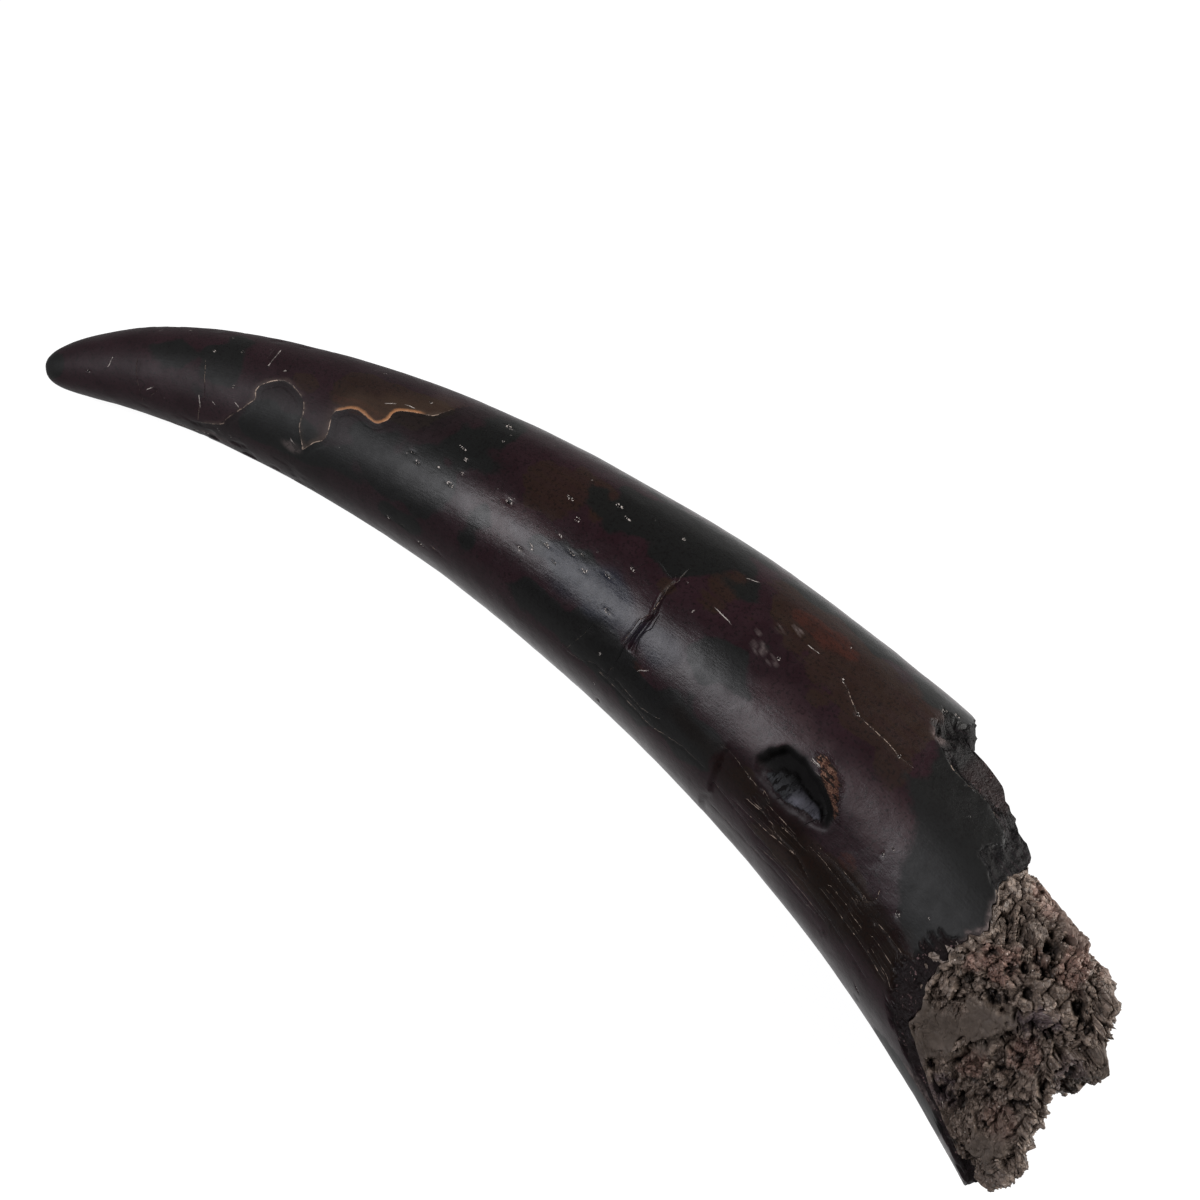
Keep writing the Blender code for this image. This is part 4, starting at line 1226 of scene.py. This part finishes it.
class Finish:
    """A node material on one Principled shader."""

    def __init__(self, name, roughness, specular=0.5, ior=1.5):
        self.material = bpy.data.materials.new(name)
        self.material.use_nodes = True
        self.tree = self.material.node_tree
        self.shader = self.tree.nodes["Principled BSDF"]
        self.shader.inputs["Roughness"].default_value = roughness
        self.shader.inputs["Specular IOR Level"].default_value = specular
        self.shader.inputs["IOR"].default_value = ior

    def node(self, kind, settings=None, inputs=None, output=0):
        """Add a node of a kind: first its settings, then values or links for its sockets."""
        made = self.tree.nodes.new("ShaderNode" + kind)
        for name, value in (settings or {}).items():
            setattr(made, name, value)
        for name, value in (inputs or {}).items():
            socket = made.inputs[name]
            if isinstance(value, Field):
                self.tree.links.new(value.socket, socket)
            elif socket.type == "RGBA":
                socket.default_value = (*value, 1.0)
            else:
                socket.default_value = value
        return Field(self, made.outputs[output])

    def feed(self, socket, value):
        """Link a field to one of the shader's sockets."""
        self.tree.links.new(value.socket, self.shader.inputs[socket])

    def attribute(self, name):
        """The three numbers of a vertex field."""
        vector = self.node("Attribute", {"attribute_name": name}, output=1)
        split = self.node("SeparateXYZ", None, {0: vector})
        outputs = split.socket.node.outputs
        return [Field(self, outputs[index]) for index in range(3)]

    def objects_place(self):
        """Object coordinates."""
        return self.node("TexCoord", output=3)

    def noise(self, place, scale, detail, roughness):
        """Cloudy noise from 0 to 1."""
        inputs = {"Vector": place, "Scale": scale, "Detail": detail, "Roughness": roughness}
        return self.node("TexNoise", None, inputs)

    def cells(self, place, scale, feature="F1", output=0):
        """Distance to the nearest of scattered points, or with output 1 that point's own value."""
        return self.node("TexVoronoi", {"feature": feature}, {"Vector": place, "Scale": scale}, output)

    def stretched(self, place, scale):
        """A place with its three directions scaled."""
        return self.node("VectorMath", {"operation": "MULTIPLY"}, {0: place, 1: scale})

    def mix(self, part, first, second):
        """A colour between two colours."""
        inputs = {0: part, 6: first, 7: second}
        return self.node("Mix", {"data_type": "RGBA"}, inputs, output=2)

    def bump(self, height, strength, distance):
        """Normals of a height field, whose 1 stands for the distance in metres."""
        inputs = {"Strength": strength, "Distance": distance, "Height": height}
        return self.node("Bump", None, inputs)


# Noises on the dentine: patches per metre, detail, roughness. The drawn-out ones run along the
# horn, with patches per metre along it and round it.
DENTINE_NOISES = {
    "cloud": (55.0, 5.0, 0.6),
    "mottle": (210.0, 4.0, 0.65),
    "speckle": (950.0, 3.0, 0.65),
    "fine": (1500.0, 2.0, 0.5),
    "tremble": (700.0, 3.0, 0.6),
    "sway": (260.0, 2.0, 0.5),
    "dashes": (330.0, 3.0, 0.7),
    "dots": (560.0, 2.0, 0.6),
    "gaps": (230.0, 2.0, 0.5),
    "flecked": (62.0, 3.0, 0.65),
    "patchy": (120.0, 3.0, 0.6),
    "worn": (26.0, 2.0, 0.6),
    "ridges": (520.0, 3.0, 0.65),
}
DRAWN_OUT_NOISES = {
    "streak": (22.0, 420.0, 4.0, 0.65),
    "fine_streak": (60.0, 1500.0, 3.0, 0.6),
    "drying": (7.0, 170.0, 2.0, 0.5),
    "splinters": (300.0, 760.0, 2.0, 0.5),
    "slots": (620.0, 170.0, 3.0, 0.7),
}
CHIPS_PER_METRE = 150.0
SCUFFS_PER_METRE = (260.0, 700.0, 1.0)


class Dentine(Finish):
    """Dark mineralised dentine: maroon and ash-black with olive and rust stains, polished."""

    def __init__(self):
        super().__init__("dentine_polished", 0.32, DENTINE_SPECULAR)
        self.place = self.objects_place()
        self.along, self.around, self.dust_and_lip_highlight = self.attribute("lie")
        lie = self.node("CombineXYZ", None, {0: self.along, 1: self.around, 2: 0.0})
        noises = {name: self.noise(self.place, *numbers) for name, numbers in DENTINE_NOISES.items()}
        for name, (along, around, *numbers) in DRAWN_OUT_NOISES.items():
            noises[name] = self.noise(self.stretched(lie, (along, around, 1.0)), 1.0, *numbers)
        self.noises = SimpleNamespace(**noises)
        self.scuff_place = self.stretched(lie, SCUFFS_PER_METRE)
        self.broken_off = self.attribute("hurt")
        self.holes = self.attribute("hole")
        self.dashes = noises["dashes"].rise(0.44, 0.56)
        self.tremble = (noises["tremble"] - 0.5) * 0.35
        self.sway = (noises["sway"] - 0.5) * 1.3
        colour = self.small_damage(self.lines(self.flaked_edge(self.stains())))
        self.feed("Base Color", self.dusted(self.wounds(colour)))
        self.feed("Roughness", self.gloss())
        self.feed("Normal", self.bump(self.height(), 0.65, 0.0010))

    def stains(self):
        """Maroon with ash-black, olive and rust patches; painted bluish and plum highlight tints, and
        painted shade along the root's flank.
        """
        noises = self.noises
        ash, olive, rust = self.attribute("stain")
        bluish_highlight, plum_highlight, flank_shade = self.attribute("tone")
        ragged = (noises.mottle - 0.5) * 0.9 + (noises.speckle - 0.5) * 0.35
        self.ash = (ash + (noises.cloud - 0.5) * 0.5 + ragged * 0.55).rise(0.34, 0.64)
        self.olive = (olive + ragged + (noises.streak - 0.5) * 0.6).rise(0.38, 0.62)
        self.flank_shade = flank_shade
        rust = (rust + ragged + (noises.streak - 0.5) * 0.9).rise(0.50, 0.95)
        colour = self.mix(noises.cloud.rise(0.35, 0.65), MAROON, DEEP_MAROON)
        colour = self.mix((noises.mottle * 1.6 - 0.5).clamped() * 0.5, colour, PLUM)
        # Painted highlight tint: plum where the highlight falls.
        colour = self.mix((plum_highlight * (noises.mottle * 1.2 + 0.2)).clamped(), colour, PLUM_HIGHLIGHT)
        colour = self.mix(self.olive * (noises.streak * 0.9 + 0.1), colour, OLIVE_BROWN)
        colour = self.mix(self.ash * 0.92, colour, ASH_BLACK)
        # Painted highlight tint: bluish where the highlight falls.
        colour = self.mix(bluish_highlight * 0.9, colour, BLUE_HIGHLIGHT)
        colour = self.mix(rust * 0.8, colour, RUST_RED)
        # Painted shade along the root's flank.
        return self.mix(flank_shade * (0.55 + noises.mottle * 0.5).clamped(), colour, FLANK_SHADE_BROWN)

    def flaked_edge(self, colour):
        """The edge of the missing layer: a thin pale line, orange and glowing where it is thin."""
        noises, tremble, along = self.noises, self.tremble, self.along
        flake, shows, scar = self.attribute("flake")
        shows = shows.rise(0.0, 0.3)
        flake = flake + self.sway * 0.6
        above = (flake + tremble).rise(-0.1, 0.2)
        patchy = noises.patchy.rise(0.40, 0.60)
        colour = self.mix(scar * 0.6, colour, ASH_BLACK)
        colour = self.mix(noises.speckle.rise(0.50, 0.66) * 0.6, colour, NEAR_BLACK)
        glow = (1.0 - (flake + (noises.cloud - 0.5) * 9.0).rise(2.0, 12.0)) * above
        glow = glow * along.rise(0.115, 0.126) * (1.0 - along.rise(0.148, 0.166))
        colour = self.mix(glow * (noises.streak * 0.9 + 0.25).clamped() * 0.75, colour, AMBER)
        band = (1.0 - (flake + tremble * 2.0).rise(0.2, 2.2)) * above * shows
        colour = self.mix(band * patchy * (noises.mottle * 1.3 - 0.25).clamped() * 0.30, colour, TAN_DUST)
        lit = along.rise(0.1190, 0.1235) * (1.0 - along.rise(0.147, 0.151))
        lit = lit * (1.0 - self.around.rise(0.0030, 0.0050))
        hot = (1.0 - (flake + tremble * 2.0).rise(0.1, 1.3)) * above * lit * shows
        colour = self.mix(hot * 0.45, colour, BRIGHT_ORANGE)
        edge = (1.0 - abs(flake + tremble * 0.9).rise(0.02, 0.26)) * shows
        colour = self.mix(edge * (self.dashes * 0.8 + 0.1) * (patchy * 0.9 + 0.1), colour, PALE_TAN)
        core = (1.0 - abs(flake + tremble * 1.1).rise(0.02, 0.16)) * lit * (self.dashes * 0.45 + 0.55)
        self.step = (0.0 - (flake + tremble)).rise(-0.12, 0.12) * shows
        return self.mix(core * (patchy * 0.75 + 0.25), colour, BRIGHT_ORANGE)

    def lines(self, colour):
        """Cracks, dark or filled with pale dust; fine drying lines on the hidden sides; scratches."""
        noises, tremble = self.noises, self.tremble
        crack, crack_shows, paleness = self.attribute("crack")
        scratch, scratch_shows, self.pit = self.attribute("scratch")
        crack = crack + self.sway * 0.55
        self.crack = (1.0 - abs(crack + tremble * 0.8).rise(0.02, 0.19)) * crack_shows.rise(0.15, 0.7)
        colour = self.mix(self.crack * (0.0 - paleness).clamped(), colour, CRACK_BLACK)
        unseen = 1.0 - self.around.rise(-0.072, -0.052) + self.around.rise(0.080, 0.098)
        drying = (1.0 - abs(noises.drying - 0.5).rise(0.002, 0.014)) * unseen
        self.drying = drying * noises.mottle.rise(0.40, 0.60)
        colour = self.mix((self.drying * 0.9).clamped(), colour, CRACK_BLACK)
        broken_up = noises.gaps.rise(0.46, 0.54) * 0.85 + 0.15
        dotted = noises.dots.rise(0.48, 0.53) * 0.92 + 0.08
        colour = self.mix(self.crack * paleness.clamped() * broken_up * dotted, colour, PALE_TAN)
        scratch = scratch + self.sway * 0.6
        mark = (1.0 - abs(scratch + tremble * 1.2).rise(0.03, 0.24)) * scratch_shows.rise(0.1, 0.6)
        self.mark = mark * (self.dashes * 0.8 + 0.2)
        return self.mix(self.mark, colour, CHALK)

    def small_damage(self, colour):
        """Small pits from the table and scattered tiny ones, each with pale crumbs round it."""
        noises = self.noises
        ragged = (self.pit + (noises.speckle - 0.5) * 1.3) * self.pit.rise(0.02, 0.12)
        self.pit_hole = ragged.rise(0.50, 0.62)
        crumbs_in = ragged.rise(0.16, 0.26) * (1.0 - self.pit_hole) * noises.fine.rise(0.50, 0.56)
        colour = self.mix(self.pit_hole * 0.85, colour, CRACK_BLACK)
        colour = self.mix(crumbs_in * 0.9, colour, CHALK)
        away = self.cells(self.place, CHIPS_PER_METRE) + (noises.speckle - 0.5) * 0.14
        chosen = self.cells(self.place, CHIPS_PER_METRE, output=1).rise(0.55, 0.61)
        chosen = chosen * noises.worn.rise(0.46, 0.60)
        self.chip = (1.0 - away.rise(0.035, 0.065)) * chosen
        crumbs_by = (1.0 - away.rise(0.085, 0.115)) * chosen * (1.0 - self.chip)
        crumbs_by = crumbs_by * noises.fine.rise(0.52, 0.58)
        self.crumbs = crumbs_in + crumbs_by
        colour = self.mix(self.chip * 0.7, colour, CRACK_BLACK)
        return self.mix(crumbs_by * 0.8, colour, CHALK)

    def wounds(self, colour):
        """The flaky scrape with a painted highlight on its ridges, the deep pit with its plated floor,
        painted shade and a painted pale reflection on its floor, and the broken band at the rim.
        """
        noises = self.noises
        fibrous, scrape, broken = self.broken_off
        pit_shade, floor, facet = self.holes
        self.ridge = 1.0 - abs(noises.ridges - 0.5).rise(0.0, 0.055)
        flaky = (scrape + (noises.splinters - 0.5) * 2.2 + (noises.mottle - 0.5) * 0.9).rise(0.46, 0.60)
        flaky = flaky * scrape.rise(0.04, 0.2)
        colour = self.mix(flaky, colour, FLAKY_BROWN)
        # Painted highlight on the scrape's raised ridges.
        ridge_highlight = flaky * self.ridge * (noises.mottle * 2.4 - 0.7).clamped()
        colour = self.mix(ridge_highlight * 0.8, colour, RIDGE_HIGHLIGHT)
        colour = self.mix(flaky * noises.splinters.rise(0.52, 0.58) * 0.9, colour, CRACK_BLACK)
        colour = self.mix(floor.rise(0.3, 0.7), colour, PIT_GREY)
        self.slots = floor * noises.slots.rise(0.53, 0.57)
        colour = self.mix(self.slots * 0.92, colour, CRACK_BLACK)
        # A painted pale reflection on part of the pit's floor.
        plate = floor.rise(0.5, 0.9) * self.along.rise(0.3290, 0.3320)
        colour = self.mix(plate * (noises.mottle * 1.8 - 0.35).clamped() * 0.75, colour, PIT_FLOOR_REFLECTION)
        # Painted shade in the deep pit.
        colour = self.mix(pit_shade.rise(0.10, 0.55), colour, CRACK_BLACK)
        colour = self.mix(broken * 0.95, colour, BROKEN_DARK)
        colour = self.mix(fibrous * (noises.cloud * 1.4 - 0.2).clamped() * 0.9, colour, BROKEN_PURPLE)
        far_facet = facet * self.along.rise(0.357, 0.362)
        colour = self.mix(far_facet * (0.35 + noises.mottle * 0.8).clamped(), colour, FACET_MAROON)
        speck = noises.speckle.rise(0.58, 0.63) * noises.mottle.rise(0.48, 0.62)
        colour = self.mix((fibrous + facet * 0.5) * speck * 0.9, colour, PINK_SPECK)
        return self.mix(broken * (1.0 - facet) * noises.fine_streak.rise(0.52, 0.68) * 0.6, colour, PLUM)

    def dusted(self, colour):
        """Pale dust from the table of patches and a painted highlight along the broken lip, and chalky
        flecks where the surface is scuffed.
        """
        noises = self.noises
        scuff = 1.0 - self.cells(self.scuff_place, 1.0).rise(0.05, 0.13)
        scuff = scuff * self.cells(self.scuff_place, 1.0, output=1).rise(0.80, 0.84)
        flecked = noises.flecked.rise(0.58, 0.70)
        fleck = noises.fine.rise(0.76, 0.81) * (flecked * 0.8 + self.broken_off[2] * 0.9)
        self.fleck = (fleck + scuff * flecked * 0.8).clamped()
        # Pale dust, and the painted highlight along the broken lip.
        colour = self.mix((self.dust_and_lip_highlight * (self.dashes * 0.6 + 0.4)).clamped() * 0.8, colour, PALE_DUST_AND_HIGHLIGHT)
        return self.mix(self.fleck * 0.8, colour, CHALK)

    def gloss(self):
        """Polished along the middle; duller at the tip, at the root and wherever it is hurt."""
        noises = self.noises
        _, scrape, broken = self.broken_off
        pit_shade, floor, _ = self.holes
        dull_root = self.along.rise(0.262, 0.325) * self.around.rise(-0.014, 0.002)
        dull_tip = 1.0 - self.along.rise(0.110, 0.205)
        gloss = DENTINE_ROUGHNESS + noises.cloud * 0.14 + (noises.mottle - 0.5) * 0.20
        gloss = gloss + self.olive * 0.03 - self.flank_shade * 0.08
        gloss = gloss + dull_root * (0.06 + self.ash * 0.14) + dull_tip * 0.24
        gloss = gloss + scrape * 0.2 + self.crack * 0.25 + self.mark * 0.3 + self.dust_and_lip_highlight * 0.3
        gloss = gloss + broken * 0.20 + floor * 0.1 + self.slots * 0.4 + pit_shade * 0.45
        return gloss.clamped()

    def height(self):
        """The fine relief, in parts of the bump's distance."""
        noises = self.noises
        mottle, speckle, fine_streak = noises.mottle, noises.speckle, noises.fine_streak
        _, scrape, broken = self.broken_off
        height = noises.cloud * 0.30 + mottle * 0.16 + speckle * 0.06 + fine_streak * 0.05
        height = height + broken * (mottle * 1.8 + speckle * 1.1 + fine_streak * 0.5)
        height = height + self.holes[1] * (mottle * 1.0 + speckle * 0.5)
        height = height + scrape * (self.ridge * 0.9 + speckle * 2.4) + self.crumbs * 0.4
        height = height - self.drying * 0.35 - self.crack * 0.30 - self.mark * 0.2
        height = height - self.pit_hole * 0.5 - self.chip * 0.5 - self.fleck * 0.12
        return height - self.slots * 1.3 - self.step * 0.10


def stone_finish():
    """Coarse brown-grey sandstone: each clump its own tone, painted shade in pores, crevices and seams,
    pink and purple stains.
    """
    finish = Finish("sandstone_coarse", 0.6, STONE_SPECULAR)
    place_on = finish.objects_place()
    # The second field is the painted shade of crevices, pores and missing clumps.
    clump, depth, grain = finish.attribute("clump")
    pink, purple, mud = finish.attribute("tint")
    cloud = finish.noise(place_on, 140.0, 4.0, 0.6)
    grit = finish.noise(place_on, 1000.0, 4.0, 0.65)
    glint = (1.0 - finish.cells(place_on, 480.0).rise(0.08, 0.16)) * grit.rise(0.44, 0.54)
    chips = finish.cells(place_on, 520.0, output=1)
    flakes = finish.cells(place_on, 1100.0, output=1)
    seams = 1.0 - finish.cells(place_on, 520.0, "DISTANCE_TO_EDGE").rise(0.0, 0.09)

    colour = finish.mix((clump * 0.7 + cloud * 0.6 - 0.1).clamped(), STONE_DARK, STONE_MID)
    colour = finish.mix((grain * 0.5 + grit * 0.8).rise(0.62, 1.05) * 0.6, colour, STONE_PALE)
    colour = finish.mix((pink * (0.2 + grit * 0.9)).clamped() * 0.85, colour, STONE_PINK)
    colour = finish.mix((purple * 0.7).clamped(), colour, STONE_PURPLE)
    colour = finish.mix(mud * 0.8, colour, STONE_MUD)
    colour = finish.mix(grit.rise(0.52, 0.75) * (0.45 - mud * 0.35), colour, STONE_DARK)
    colour = finish.mix(chips.rise(0.62, 0.80) * (0.40 - mud * 0.35), colour, STONE_PALE)
    # Painted shade in the seams between chips.
    colour = finish.mix(seams * (0.42 - mud * 0.38), colour, STONE_SHADE_DARK)
    colour = finish.mix(glint * (1.0 - mud) * 0.8, colour, STONE_GLINT)
    # Painted shade in crevices, pores and where clumps have gone.
    colour = finish.mix(depth.rise(0.40, 1.00) * 0.85, colour, STONE_SHADE_DARK)
    finish.feed("Base Color", colour)
    finish.feed("Roughness", (0.30 + grit * 0.35 + mud * 0.20).clamped())
    sharp = chips * 0.55 + flakes * 0.22 - seams * 0.35
    height = grit * 0.40 * (1.0 - mud * 0.6) + cloud * 0.35 + sharp * (1.0 - mud * 0.85)
    finish.feed("Normal", finish.bump(height, 0.6, 0.0009))
    return finish.material


def table_finish():
    """A plain pale table top that glows a little, so that it stays pale all over."""
    finish = Finish("table_pale", 0.7, ior=1.45)
    finish.shader.inputs["Base Color"].default_value = (*(TABLE_TONE,) * 3, 1.0)
    low = finish.node("LayerWeight", None, {"Blend": 0.5}, output=1).rise(*TABLE_FADE)
    finish.feed("Emission Color", finish.mix(low, (1.0, 1.0, 1.0), (TABLE_LOW_GLOW,) * 3))
    finish.shader.inputs["Emission Strength"].default_value = TABLE_GLOW
    return finish.material


# ---------------------------------------------------------------- the scene


def make_table():
    """A big square that everything stands on."""
    half = TABLE_HALF
    corners = np.array(((-half, -half, 0.0), (half, -half, 0.0), (half, half, 0.0), (-half, half, 0.0)))
    table = make_mesh("table_top", corners, np.arange(4), np.array((4,)), {})
    table.data.materials.append(table_finish())


def look_from(piece, start, target):
    """Put a camera or a light at a place and point it at a target."""
    piece.location = start
    piece.rotation_euler = (Vector(target) - Vector(start)).to_track_quat("-Z", "Y").to_euler()


def make_camera():
    """The camera looks down steeply on the tusk from beside its root."""
    data = bpy.data.cameras.new("camera")
    data.lens = CAMERA_LENS
    data.sensor_width = SENSOR
    camera = bpy.data.objects.new("camera", data)
    bpy.context.scene.collection.objects.link(camera)
    look_from(camera, CAMERA_PLACE, CAMERA_TARGET)
    bpy.context.scene.camera = camera


def make_lights():
    """Area lights and a dim even room."""
    for name, (direction, distance, size, power, colour) in LIGHTS.items():
        data = bpy.data.lights.new(name, "AREA")
        data.shape = "RECTANGLE"
        data.size, data.size_y = size
        data.energy = power
        data.color = colour
        light = bpy.data.objects.new(name, data)
        bpy.context.scene.collection.objects.link(light)
        look_from(light, Vector(direction).normalized() * distance, LIGHT_TARGET)
    world = bpy.data.worlds.new("room")
    bpy.context.scene.world = world
    world.use_nodes = True
    background = world.node_tree.nodes["Background"]
    background.inputs["Color"].default_value = (*(ROOM_GREY,) * 3, 1.0)
    background.inputs["Strength"].default_value = ROOM_LIGHT


def dress(piece, material, slot, *nodes):
    """Give a piece its material, and say what it rides on and stands for; its slot is not used."""
    piece.data.materials.append(material)
    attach(piece, "root")
    if nodes:
        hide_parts(*nodes)


def main():
    """Make the pieces, the table, the lights and the camera."""
    dress(make_horn(), Dentine().material, "dentine", "tusk")
    stone, *grain_places = make_stone()
    sandstone = stone_finish()
    dress(stone, sandstone, "matrix", "matrix_fill")
    dress(make_grains(*grain_places), sandstone, "matrix")
    make_table()
    make_lights()
    make_camera()
    bpy.context.scene.view_settings.view_transform = "Standard"


main()
